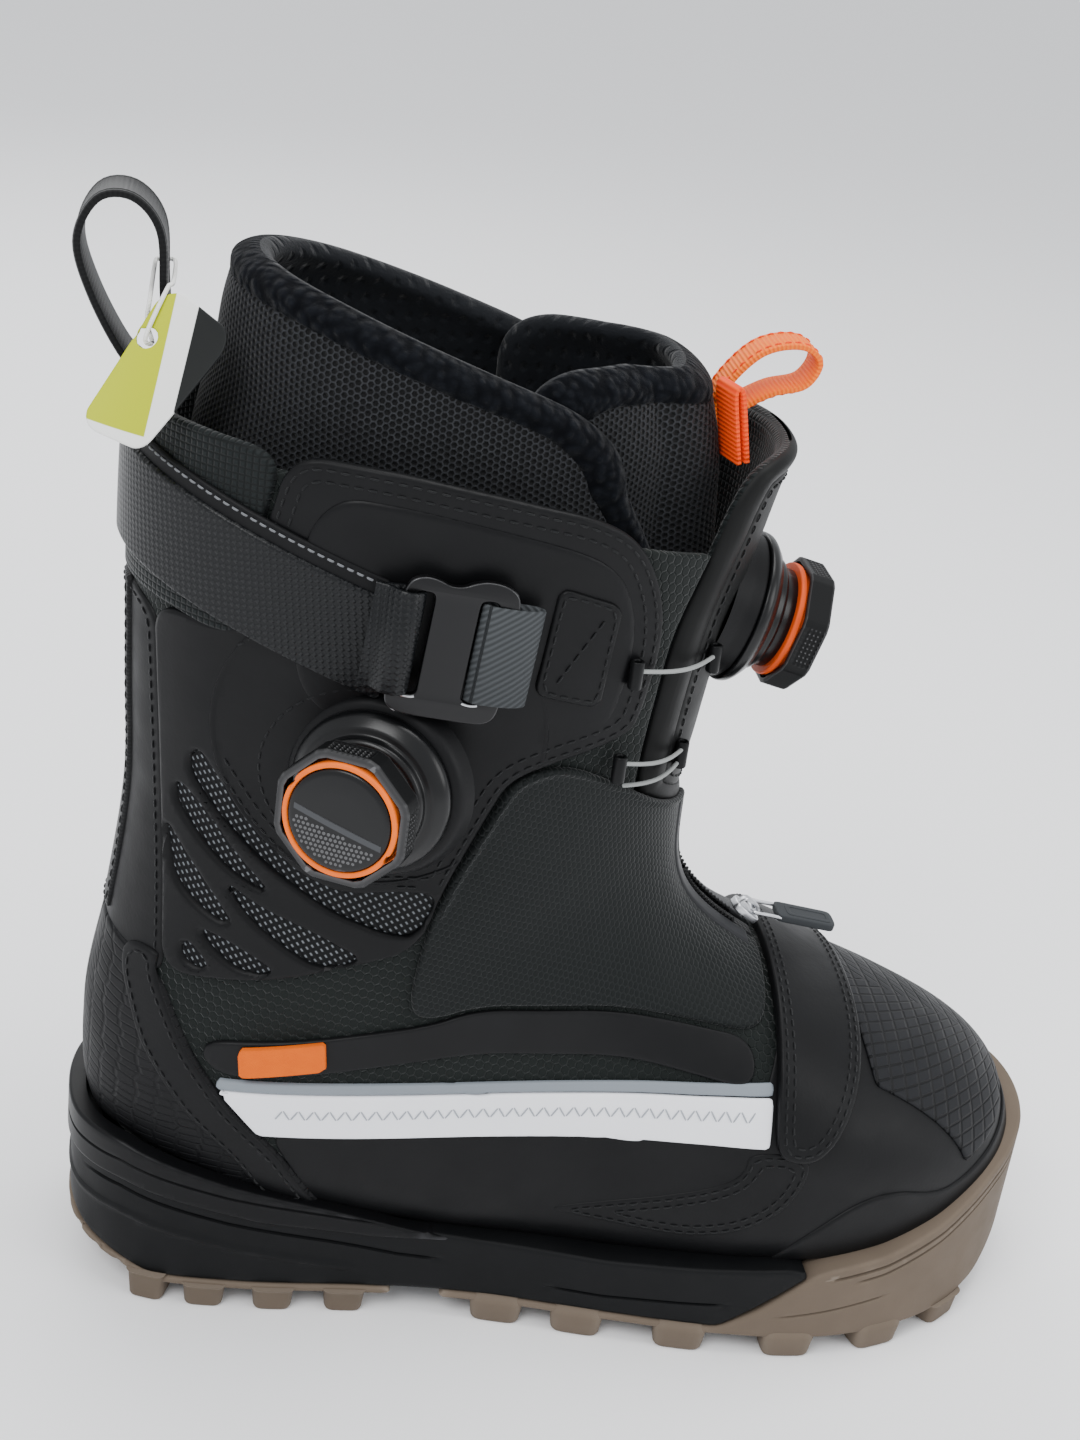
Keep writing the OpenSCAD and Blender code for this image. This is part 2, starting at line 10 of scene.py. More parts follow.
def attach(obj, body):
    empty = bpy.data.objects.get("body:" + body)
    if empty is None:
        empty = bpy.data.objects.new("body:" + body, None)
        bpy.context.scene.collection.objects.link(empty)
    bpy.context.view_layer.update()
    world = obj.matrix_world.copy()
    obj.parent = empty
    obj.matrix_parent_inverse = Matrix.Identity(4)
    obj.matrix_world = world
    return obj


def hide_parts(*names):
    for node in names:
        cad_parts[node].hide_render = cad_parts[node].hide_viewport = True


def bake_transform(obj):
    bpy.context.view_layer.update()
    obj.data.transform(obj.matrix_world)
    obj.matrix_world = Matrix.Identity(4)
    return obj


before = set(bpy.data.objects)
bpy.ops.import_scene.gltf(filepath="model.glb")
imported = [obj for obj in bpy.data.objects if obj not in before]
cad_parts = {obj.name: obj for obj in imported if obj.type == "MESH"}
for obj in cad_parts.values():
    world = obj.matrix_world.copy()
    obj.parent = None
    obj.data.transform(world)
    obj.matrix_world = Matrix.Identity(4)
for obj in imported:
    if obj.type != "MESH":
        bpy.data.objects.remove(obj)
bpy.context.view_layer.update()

# Shapes are worked out in millimetres, measured from the heel like the CAD part's own shapes:
# x to the toe, y to the inner side, z up. The row's origin is at this point of that space.
ORIGIN = np.array([155, -11.28, 0])
MM = 0.001

# ---------------------------------------------------------------- the boot's shape
# Sole or back point (x, z), top or front point (x, z), outer and inner half widths, centre line's y,
# squareness of the sole or back half and of the top half
RIBS = np.array([
    [311, 44, 311, 54, 9, 9, 12, 2.2, 2.1],
    [306, 32, 305, 68, 27, 27, 11, 2.4, 2.1],
    [294, 25, 291, 80, 42, 40, 9, 2.9, 2.1],
    [270, 22, 267, 93, 54, 50, 6, 3.4, 2.1],
    [240, 20, 240, 105, 59, 57, 3, 4, 2.1],
    [210, 20, 219, 115, 58, 58, 1, 4, 2.1],
    [175, 20, 203, 124, 52, 54, 0, 4, 2.1],
    [135, 22, 191, 133, 47, 48, 0, 4, 2.2],
    [90, 26, 183, 143, 45, 45, 0, 4, 2.3],
    [40, 32, 179, 155, 45, 45, 0, 3, 2.3],
    [9, 54, 178, 168, 45, 45, 0, 2.5, 2.3],
    [4, 90, 178, 182, 46, 45, 0, 2.2, 2.3],
    [10, 130, 180, 199, 47, 46, 0, 2.1, 2.3],
    [14, 168, 182, 218, 49, 48, 0, 2.1, 2.3],
    [13, 205, 185, 238, 51, 50, 0, 2.1, 2.3],
    [12, 240, 189, 258, 53, 52, 0, 2.1, 2.3],
    [12, 270, 192, 274, 55, 54, 0, 2.1, 2.3],
    [13, 292, 195, 288, 56, 55, 0, 2.1, 2.3]], float)
LAST = len(RIBS) - 1
COLLAR = [[24, 256, 176, 248, 44], [26, 276, 174, 266, 44], [31, 296, 172, 284, 44],
          [34, 316, 168, 298, 43], [40, 332, 163, 308, 39]]
SOLE_PLAN = [[0, 0], [5, -22], [24, -37], [56, -42], [95, -43], [130, -46], [170, -54], [205, -60],
             [240, -61], [272, -52], [297, -34], [312, -12], [316, 12], [311, 34], [297, 50],
             [272, 61], [240, 65], [205, 62], [170, 54], [130, 47], [90, 44], [50, 43], [22, 37],
             [5, 22]]
SOLE_TOP = [[-8, 50], [17, 50], [51, 42], [82, 37], [104, 33], [129, 31], [169, 30], [200, 32],
            [226, 34], [240, 35], [258, 38], [278, 45], [298, 55], [330, 64]]
# How far the lip rises round the heel, where it ends, where the foam ends, and the foam's lower edge
FOXING_RISE, FOXING_END, MID_FRONT, SOLE_STEP = 9, 118, 232, 9.4
COUNTER_FRONT = [[24, 119], [34, 96], [48, 76], [64, 60], [84, 30]]
QUARTER_BACK = [[26, 119], [57, 124], [99, 138]]
QUARTER_FRONT = [[104, 158], [115, 187], [119, 196], [133, 202]]
BAND = [[37, 99], [70, 104], [105, 111], [119, 117], [161, 116], [206, 107], [206, 94], [163, 102],
        [120, 102], [68, 91], [43, 88]]
CUFF_EDGE = [[52, 286], [80, 285], [107, 281], [134, 276], [146, 269], [154, 254], [157, 238],
             [154, 212]]
SHROUD_TOP = [[120, 196], [134, 201], [152, 192], [172, 178], [196, 168]]
TONGUE_EDGE = [[31, 165], [36, 205], [39, 240], [38, 286]]
# Each dial's middle, its turn about Z and its tilt about Y
SIDE_DIAL = ([79, -61, 196], -115, 86.5)
FRONT_DIAL = ([190, 0, 232], 0, 105)
# A panel's height over the form and its thickness, and the height of a panel over a panel
LAYER_GAP, PANEL_WALL = 0.6, 1.6
SECOND = LAYER_GAP * 2 + PANEL_WALL
# Outlines are measured on the form grown by this much, and a field is this far below 0 off its piece
MEASURED = 1.4
OUTSIDE = -50


def between(a, b, c, d, f):
    """The Catmull-Rom curve from b to c at the fraction f."""
    return 0.5 * (2 * b + (c - a) * f + (2 * a - 5 * b + 4 * c - d) * f ** 2
                  + (3 * b - a - 3 * c + d) * f ** 3)


def rounded(v, square):
    return np.sign(v) * np.abs(v) ** (2 / square)


def shape(t, angle, grow, rows=RIBS):
    """Points on the boot's shape grown by a distance. t runs along the ribs, and below 0 over the
    toe's tip; angle is 0 at the top or front, 180 at the sole or back, and 180 to 360 outside."""
    t, angle, grow = np.broadcast_arrays(*(np.asarray(v, float) for v in (t, angle, grow)))
    last = len(rows) - 1
    on = np.clip(t, 0, last)
    k = np.minimum(on.astype(int), last - 1)
    f = (on - k)[:, None]
    r = between(rows[np.maximum(k - 1, 0)], rows[k], rows[k + 1], rows[np.minimum(k + 2, last)], f)
    toe = grow * np.maximum(0, 1 - on / 3)
    middle = (r[:, 0:2] + r[:, 2:4]) / 2
    middle[:, 0] += toe
    reach = (r[:, 2:4] - r[:, 0:2]) / 2
    longer = np.maximum(0.2, 1 + grow / np.linalg.norm(reach, axis=1))
    c, s = np.cos(np.radians(angle)), np.sin(np.radians(angle))
    square = np.where(c > 0, r[:, 8], r[:, 7])
    along = reach * (longer * rounded(c, square))[:, None]
    side = rounded(s, square)
    across = side * np.maximum(1, np.where(side < 0, r[:, 4], r[:, 5]) + grow)
    shrink = np.clip(1 + t, 0, 1)
    along, across = along * shrink[:, None], across * shrink
    tip = 1.4 * (1 - shrink ** 2)
    return np.stack([middle[:, 0] + along[:, 0] + tip, r[:, 6] + across, middle[:, 1] + along[:, 1]], 1)


def quadrant(columns):
    v = np.arange(columns) / columns
    return 90 * v ** 1.5 / (v ** 1.5 + (1 - v) ** 1.5)


def quads(rows, columns, round_row=False, round_all=False):
    """Faces of a grid of points, row after row. Each row, or the whole, may close on itself."""
    i, k = (m.ravel() for m in np.meshgrid(np.arange(rows - (not round_all)),
                                           np.arange(columns - (not round_row)), indexing="ij"))
    below, beside = (i + 1) % rows * columns, (k + 1) % columns
    return np.stack([i * columns + k, i * columns + beside, below + beside, below + k], 1)


def caps(rows, columns):
    """The two end faces of a grid whose rows close on themselves."""
    return [tuple(range(columns - 1, -1, -1)), tuple((rows - 1) * columns + k for k in range(columns))]


def joined(shapes):
    """One shape from many, each with its points, its faces and maybe its pattern places."""
    points, faces, places = [], [], []
    for p, f, *m in shapes:
        faces += [tuple(i + len(points) for i in face) for face in f]
        points += list(p)
        places += list(m[0]) if m else []
    return points, faces, places


def form_grid(rows, columns, start=-1.0, stop=float(LAST), shape=shape):
    """Parameters over the boot's shape, one row a point: t, angle, and u, v, which are the side
    view's x and z carried on round the shape without stretching. Also the faces' corners."""
    low = np.linspace(start, 0, max(2, int(rows * 0.04)), endpoint=False) if start < 0 else []
    ts = np.concatenate([low, np.linspace(max(start, 0), stop, rows)])
    angles = np.concatenate([quadrant(columns) + 90 * q for q in range(4)] + [[360]])
    t, angle = (m.ravel() for m in np.meshgrid(ts, angles, indexing="ij"))
    p = shape(t, angle, 1.0).reshape(len(ts), len(angles), 3)
    back, front = p[:, len(angles) // 2], p[:, 0]
    way = (front - back)[:, [0, 2]]
    way /= np.maximum(np.linalg.norm(way, axis=1), 1e-6)[:, None]
    step = np.diff(p, axis=1)
    flat = step[:, :, 0] * way[:, None, 0] + step[:, :, 2] * way[:, None, 1]
    extra = np.concatenate([np.zeros((len(ts), 1)), np.cumsum(
        np.sign(flat) * (np.hypot(flat, step[:, :, 1]) - np.abs(flat)), 1)], 1)
    for first, last in ((0, len(angles) // 2), (len(angles) // 2, len(angles) - 1)):
        extra[:, first:last + 1] -= extra[:, [(first + last) // 2]]
    uv = p[:, :, [0, 2]] + extra[:, :, None] * way[:, None, :]
    params = np.stack([t, angle, uv[:, :, 0].ravel(), uv[:, :, 1].ravel()], 1)
    return params, quads(len(ts), len(angles))


FORM, FORM_FACES = form_grid(400, 72)
FORM_POINTS = shape(FORM[:, 0], FORM[:, 1], MEASURED)


# ---------------------------------------------------------------- outlines and cutting
def soften(outline, cut=5.0, rounds=3, closed=True):
    """The outline with each corner rounded off, by at most the given distance."""
    points = [np.array(p, float) for p in outline]
    for _ in range(rounds):
        made, n = [], len(points)
        for i, p in enumerate(points):
            if not closed and i in (0, n - 1):
                made.append(p)
                continue
            for q in (points[i - 1], points[(i + 1) % n]):
                d = q - p
                made.append(p + d * min(0.25, cut / max(np.linalg.norm(d), 1e-6)))
        points, cut = made, cut / 2
    return np.array(points)


def inside(x, z, outline):
    """Signed distance from each point to a closed outline, positive inside."""
    a = np.asarray(outline, float)
    b = np.roll(a, -1, 0)
    best, within = np.full(len(x), 1e9), np.zeros(len(x), bool)
    for p, q in zip(a, b):
        d = q - p
        f = np.clip(((x - p[0]) * d[0] + (z - p[1]) * d[1]) / max(d @ d, 1e-12), 0, 1)
        best = np.minimum(best, np.hypot(x - p[0] - f * d[0], z - p[1] - f * d[1]))
        if p[1] != q[1]:
            hit = (p[1] > z) != (q[1] > z)
            within ^= hit & (x < (z - p[1]) * d[0] / d[1] + p[0])
    return np.where(within, best, -best)


def cut(rows, faces, column, level):
    """Splits the faces that cross a level of one column, and makes the rows of the new corners."""
    rows, values, made, out = list(rows), list(rows[:, column]), {}, []
    for face in faces:
        above = [values[i] > level for i in face]
        if all(above) or not any(above):
            out.append(face)
            continue
        high, low = [], []
        for k, i in enumerate(face):
            j = face[(k + 1) % len(face)]
            (high if above[k] else low).append(i)
            if above[k] != (values[j] > level):
                key = (min(i, j), max(i, j))
                if key not in made:
                    f = (level - values[i]) / (values[j] - values[i])
                    made[key] = len(rows)
                    row = rows[i] + (rows[j] - rows[i]) * f
                    row[column] = level
                    rows.append(row)
                    values.append(level)
                high.append(made[key])
                low.append(made[key])
        out += [tuple(high), tuple(low)]
    return np.array(rows), out


def chains(edges):
    """Joins edges end to end into lists of vertex numbers."""
    near = {}
    for a, b in edges:
        near.setdefault(a, []).append(b)
        near.setdefault(b, []).append(a)
    found, used = [], set()
    for start in sorted(near, key=lambda i: len(near[i]) != 1):
        if start in used:
            continue
        line, at = [start], start
        used.add(start)
        while True:
            following = [i for i in near[at] if i not in used]
            if not following:
                break
            at = following[0]
            used.add(at)
            line.append(at)
        if len(line) > 2 and line[0] in near[line[-1]]:
            line.append(line[0])
        found.append(line)
    return found


# ---------------------------------------------------------------- making objects
def thing(name, points, faces, body, material, slot, replaces=(), mm=None, sharp=38, merge=0.004):
    """A mesh object from points in millimetres, riding on a body, with the look of that name. mm is
    each point's place in its material's pattern, in millimetres."""
    mesh = bpy.data.meshes.new(name)
    points = np.asarray(points, float)
    mesh.from_pydata(((points - ORIGIN) * MM).tolist(), [], [tuple(int(i) for i in f) for f in faces])
    if mm is None:
        mm = points
    attribute = mesh.attributes.new("mm", "FLOAT_VECTOR", "POINT")
    attribute.data.foreach_set("vector", np.asarray(mm, np.float32).ravel())
    work = bmesh.new()
    work.from_mesh(mesh)
    if merge:
        bmesh.ops.remove_doubles(work, verts=work.verts, dist=merge * MM)
    bmesh.ops.recalc_face_normals(work, faces=work.faces)
    work.to_mesh(mesh)
    work.free()
    mesh.shade_smooth()
    mesh.set_sharp_from_angle(angle=math.radians(sharp))
    mesh.materials.append(mat(material))
    made = bpy.data.objects.new(name, mesh)
    bpy.context.scene.collection.objects.link(made)
    if body:
        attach(made, body)
    if replaces:
        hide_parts(*replaces)
    return made


def round_edge(v, radius):
    return np.sqrt(1 - (1 - np.clip(v / radius, 0, 1)) ** 2)


class Patch:
    """A piece of a surface inside a field, with heights given by its profile. A crease is a field, a
    half width and a depth: a groove or ridge along the field's zero. contour(level) gives the lines at
    that distance from the piece's edge, as points and normals."""

    def __init__(self, field, profile, levels=(), depth=0.0, edge=1.2, surface=None, creases=()):
        params, faces, points, self.at = surface or (FORM, FORM_FACES, FORM_POINTS, shape)
        values = field(points, params)
        keep = (values[faces] > 0).any(1)
        used = np.unique(faces[keep])
        renumber = np.full(len(params), -1)
        renumber[used] = np.arange(len(used))
        faces = [tuple(f) for f in renumber[faces[keep]]]
        rows = np.column_stack([params[used], values[used]] + [c(points[used], params[used])
                                                               for c, _, _ in creases])
        value, crease = 4, 5    # the columns after t, angle, u and v
        for level in sorted({0.0, 0.12 * edge, 0.45 * edge, float(edge), *levels}):
            rows, faces = cut(rows, faces, value, level)
        for k, (_, half, _) in enumerate(creases, crease):
            for share in (-1, -0.4, 0.4, 1):
                rows, faces = cut(rows, faces, k, share * half)
        values = rows[:, value]
        faces = [f for f in faces if max(values[i] for i in f) > 1e-9]
        places = self.at(rows[:, 0], rows[:, 1], MEASURED)
        heights = profile(values, rows, places)
        for k, (_, half, deep) in enumerate(creases, crease):
            dip = np.clip((1 - np.abs(rows[:, k]) / half) / 0.6, 0, 1)
            deep = deep(places) if callable(deep) else deep
            heights = heights + deep * dip * np.clip(values / edge, 0, 1)
        edges = {}
        for f in faces:
            for k, i in enumerate(f):
                key = (min(i, f[k - 1]), max(i, f[k - 1]))
                edges[key] = edges.get(key, 0) + 1
        rim = [e for e, count in edges.items() if count == 1 and max(values[list(e)]) < 1e-6]
        low = {i: len(rows) + k for k, i in enumerate(sorted({i for e in rim for i in e}))}
        faces += [(a, b, low[b], low[a]) for a, b in rim]
        self.params = np.concatenate([rows, rows[list(low)]]) if low else rows
        deep = depth(places[list(low)]) if callable(depth) and low else np.full(len(low), depth)
        self.heights = np.concatenate([heights, deep])
        self.values, self.faces, self.edges = values, faces, edges
        self.points = self.at(self.params[:, 0], self.params[:, 1], self.heights)

    def make(self, name, body, material, slot, replaces=(), **more):
        mm = np.stack([self.params[:, 2], self.params[:, 3], self.heights], 1)
        return thing(name, self.points, self.faces, body, material, slot, replaces, mm=mm, **more)

    def contour(self, level, where=None, rise=0.0):
        flat = np.abs(self.values - level) < 1e-9
        if where is not None:
            flat &= where(self.points[:len(flat)])
        lines = []
        for line in chains([e for e in self.edges if flat[e[0]] and flat[e[1]]]):
            p, h = self.params[line], self.heights[line] + rise
            here = self.at(p[:, 0], p[:, 1], h)
            lines.append((here, self.at(p[:, 0], p[:, 1], h + 1) - here))
        return lines


def unit(v):
    return v / np.maximum(np.linalg.norm(v, axis=-1, keepdims=True), 1e-9)


def resample(points, step, *others):
    """The line through the points, with points an even distance apart, and others made to match."""
    gaps = np.linalg.norm(np.diff(points, axis=0), axis=1)
    along = np.concatenate([[0], np.cumsum(gaps)])
    n = max(2, int(round(along[-1] / step)) + 1)
    at = np.linspace(0, along[-1], n)
    return [np.stack([np.interp(at, along, a[:, k]) for k in range(a.shape[1])], 1)
            for a in (points, *others)]


def stitch_rows(name, lines, body, material, slot, length=2.6, gap=1.1, radius=0.27, rise=0.12):
    """Short threads along lines of points with normals, all in one mesh."""
    sides = 6
    along, swell = (-0.5, -0.4, 0, 0.4, 0.5), (0.35, 0.85, 1, 0.85, 0.35)
    arch = (-0.75, 0.1, 0.55, 0.1, -0.75)
    points, faces = [], []
    tube = quads(len(along), sides, True)
    for line, normals in lines:
        p, n = resample(line, length + gap, normals)
        middle, way = (p[1:] + p[:-1]) / 2, unit(p[1:] - p[:-1])
        up = unit((n[1:] + n[:-1]) / 2)
        across = unit(np.cross(way, up))
        for k in range(len(middle)):
            faces += (tube + len(points)).tolist()
            for a, w, h in zip(along, swell, arch):
                for s in range(sides):
                    turn = 2 * math.pi * s / sides
                    points.append(middle[k] + way[k] * a * length + up[k] * (
                        rise + h * radius + math.sin(turn) * w * radius) + across[k] * (
                        math.cos(turn) * w * radius * 1.25))
    return thing(name, points, faces, body, material, slot, merge=0)


def outline_field(outline, side="both", soft=5.0, also=None):
    """A field for a patch: inside a side view outline, on one side of the boot or on both."""
    smooth = soften(outline, soft) if soft else np.array(outline, float)

    def field(points, params):
        v = inside(points[:, 0], points[:, 2], smooth)
        if side == "lateral":
            v = np.where(params[:, 1] >= 180, v, OUTSIDE)
        if side == "medial":
            v = np.where(params[:, 1] <= 180, v, OUTSIDE)
        if also is not None:
            v = np.minimum(v, also(points, params))
        return v
    return field


def sole_top(x):
    return np.interp(x, [p[0] for p in SOLE_TOP], [p[1] for p in SOLE_TOP])


def lip_top(x):
    return sole_top(x) + FOXING_RISE * np.maximum(0, 1 - np.maximum(x, 0) / FOXING_END)


def above_sole(points, params):
    """The distance above the sole's top edge, or above the lip round the heel."""
    return points[:, 2] - lip_top(points[:, 0]) + 1.5


def flat_panel(start, thick, edge=1.2):
    return lambda v, params, points: start + thick * round_edge(v, edge)


# ---------------------------------------------------------------- materials
class Look:
    """A procedural material. Patterns are measured in millimetres on each piece's own surface."""

    def __init__(self, name, colour, rough, metal=0.0, sheen=0.0, coat=0.0, specular=0.14, own=False):
        self.material = bpy.data.materials.new(name)
        self.material.use_nodes = True
        self.tree = self.material.node_tree
        self.shader = next(n for n in self.tree.nodes if n.type == "BSDF_PRINCIPLED")
        self.base = (*colour, 1)
        for socket, value in (("Base Color", self.base), ("Roughness", rough), ("Metallic", metal),
                              ("Sheen Weight", sheen), ("Coat Weight", coat),
                              ("Specular IOR Level", specular)):
            self.shader.inputs[socket].default_value = value
        self.shader.inputs["Sheen Roughness"].default_value = 0.4
        self.shader.inputs["Coat Roughness"].default_value = 0.25
        if own:
            metres = self.node("ShaderNodeTexCoord").outputs["Object"]
            self.mm = self.vector("MULTIPLY", metres, (1000, 1000, 1000))
        else:
            self.mm = self.node("ShaderNodeAttribute", attribute_name="mm").outputs["Vector"]
        self.normal = None

    def node(self, kind, inputs=(), **settings):
        made = self.tree.nodes.new(kind)
        for key, value in settings.items():
            setattr(made, key, value)
        for key, value in dict(inputs).items():
            if isinstance(value, bpy.types.NodeSocket):
                self.tree.links.new(value, made.inputs[key])
            else:
                made.inputs[key].default_value = value
        return made

    def math(self, operation, *values):
        made = self.node("ShaderNodeMath", dict(enumerate(values)), operation=operation)
        return made.outputs[0]

    def vector(self, operation, *values):
        made = self.node("ShaderNodeVectorMath", dict(enumerate(values)), operation=operation)
        return made.outputs["Value" if operation in ("LENGTH", "DOT_PRODUCT") else "Vector"]

    def scaled(self, size, stretch=(1, 1, 1), turn=0.0):
        """The place in the pattern, in steps of a size, stretched along its axes and turned."""
        made = self.node("ShaderNodeMapping", {"Vector": self.mm, "Rotation": (0, 0, math.radians(turn)),
                                               "Scale": tuple(s / size for s in stretch)})
        return made.outputs[0]

    def parts(self, vector):
        made = self.node("ShaderNodeSeparateXYZ", {0: vector})
        return made.outputs[0], made.outputs[1], made.outputs[2]

    def noise(self, size, detail=2.0, stretch=(1, 1, 1), rough=0.5):
        made = self.node("ShaderNodeTexNoise", {"Vector": self.scaled(size, stretch), "Scale": 1.0,
                                                "Detail": detail, "Roughness": rough})
        return made.outputs["Fac" if "Fac" in made.outputs else 0]

    def cells(self, size, stretch=(1, 1, 1), feature="F1", random=1.0):
        made = self.node("ShaderNodeTexVoronoi", {"Vector": self.scaled(size, stretch), "Scale": 1.0,
                                                  "Randomness": random}, feature=feature)
        return made.outputs["Distance"]

    def honeycomb(self, size, stretch=(1, 1, 1), turn=0.0):
        """Distance from the middle of each hexagon, 0 to 0.5 at its edges."""
        p = self.scaled(size, stretch, turn)
        half = (0.5, math.sqrt(3) / 2, 0.5)
        a, b = (self.vector("MULTIPLY", self.vector("WRAP", self.vector("ADD", p, shift), half,
                                                    tuple(-h for h in half)), (1, 1, 0))
                for shift in ((0, 0, 0), half))
        choose = self.math("LESS_THAN", self.vector("LENGTH", a), self.vector("LENGTH", b))
        mixed = self.node("ShaderNodeMix", {"Factor": choose, 4: b, 5: a}, data_type="VECTOR")
        g = self.vector("ABSOLUTE", mixed.outputs[1])
        x, _, _ = self.parts(g)
        return self.math("MAXIMUM", x, self.vector("DOT_PRODUCT", g, (*half[:2], 0)))

    def waves(self, size, turn=0.0):
        """A sine from 0 to 1 across the pattern, once each size."""
        x, _, _ = self.parts(self.scaled(size / (2 * math.pi), (1, 1, 1), turn))
        return self.math("MULTIPLY_ADD", self.math("SINE", x), 0.5, 0.5)

    def weave(self, size, turn=0.0):
        """Threads over and under each other, 0 to 1."""
        x, y, _ = self.parts(self.scaled(size / math.pi, (1, 1, 1), turn))
        product = self.math("MULTIPLY", self.math("SINE", x), self.math("SINE", y))
        return self.math("MULTIPLY_ADD", product, 0.5, 0.5)

    def grid(self, width, height, line=0.12):
        """1 in the cells of a rectangular grid, falling to 0 on its lines."""
        x, y, _ = self.parts(self.scaled(1, (1 / width, 1 / height, 1)))
        dips = []
        for v in (x, y):
            saw = self.math("ABSOLUTE", self.math("SUBTRACT", self.math("FRACT", v), 0.5))
            dips.append(self.between_values(saw, 0.5, 0.5 - line))
        return self.math("MINIMUM", *dips)

    def between_values(self, value, low, high, to_low=0.0, to_high=1.0):
        made = self.node("ShaderNodeMapRange", {"Value": value, "From Min": low, "From Max": high,
                                                "To Min": to_low, "To Max": to_high})
        made.interpolation_type = "SMOOTHSTEP"
        return made.outputs[0]

    def bump(self, height, depth, strength=1.0):
        """Adds relief: height 0 to 1, and the depth in millimetres."""
        inputs = {"Height": height, "Distance": depth * MM, "Strength": strength}
        if self.normal is not None:
            inputs["Normal"] = self.normal
        self.normal = self.node("ShaderNodeBump", inputs).outputs[0]
        self.tree.links.new(self.normal, self.shader.inputs["Normal"])
        return self

    def tint(self, factor, colour):
        """Mixes a colour over the base, by a factor socket."""
        so_far = self.shader.inputs["Base Color"]
        base = so_far.links[0].from_socket if so_far.is_linked else self.base
        mixed = self.node("ShaderNodeMix", {"Factor": factor, 6: base, 7: (*colour, 1)},
                          data_type="RGBA")
        self.tree.links.new(mixed.outputs[2], so_far)
        return self

    def mottle(self, size, detail, colour):
        """Cloudy patches of another colour."""
        return self.tint(self.noise(size, detail), colour)

    def roughen(self, size, detail, low, high):
        """A roughness that wanders between two values."""
        rough = self.between_values(self.noise(size, detail), 0, 1, low, high)
        self.tree.links.new(rough, self.shader.inputs["Roughness"])
        return self

    def rubbed_and_glinting_edges(self, colour, amount=0.5):
        """A lighter colour along sharp convex edges, found by pointiness: partly rubbed wear, partly a
        painted highlight where edges catch the light.
        """
        point = self.node("ShaderNodeNewGeometry").outputs["Pointiness"]
        edge = self.between_values(point, 0.52, 0.6)
        self.tint(self.math("MULTIPLY", edge, amount), colour)
        return self


LOOKS = {}


def look(name, *numbers, **words):
    LOOKS[name] = Look(name, *numbers, **words)
    return LOOKS[name]


def mat(name):
    return LOOKS[name].material


def grained(name, colour, rough, size, depth, strength=0.5, detail=2, **words):
    """A look whose relief starts with one fine noise."""
    made = look(name, colour, rough, **words)
    return made.bump(made.noise(size, detail), depth, strength)


def leather(name, colour, rough, depth=0.05):
    """Coated or moulded synthetic: fine grain and faint cloudiness."""
    made = look(name, colour, rough)
    made.bump(made.cells(0.9, feature="SMOOTH_F1"), depth, 0.5)
    made.bump(made.noise(9, 3), 0.25, 0.35).roughen(14, 4, rough - 0.08, rough + 0.12)
    return made.mottle(22, 3, tuple(c * 1.5 + 0.002 for c in colour))


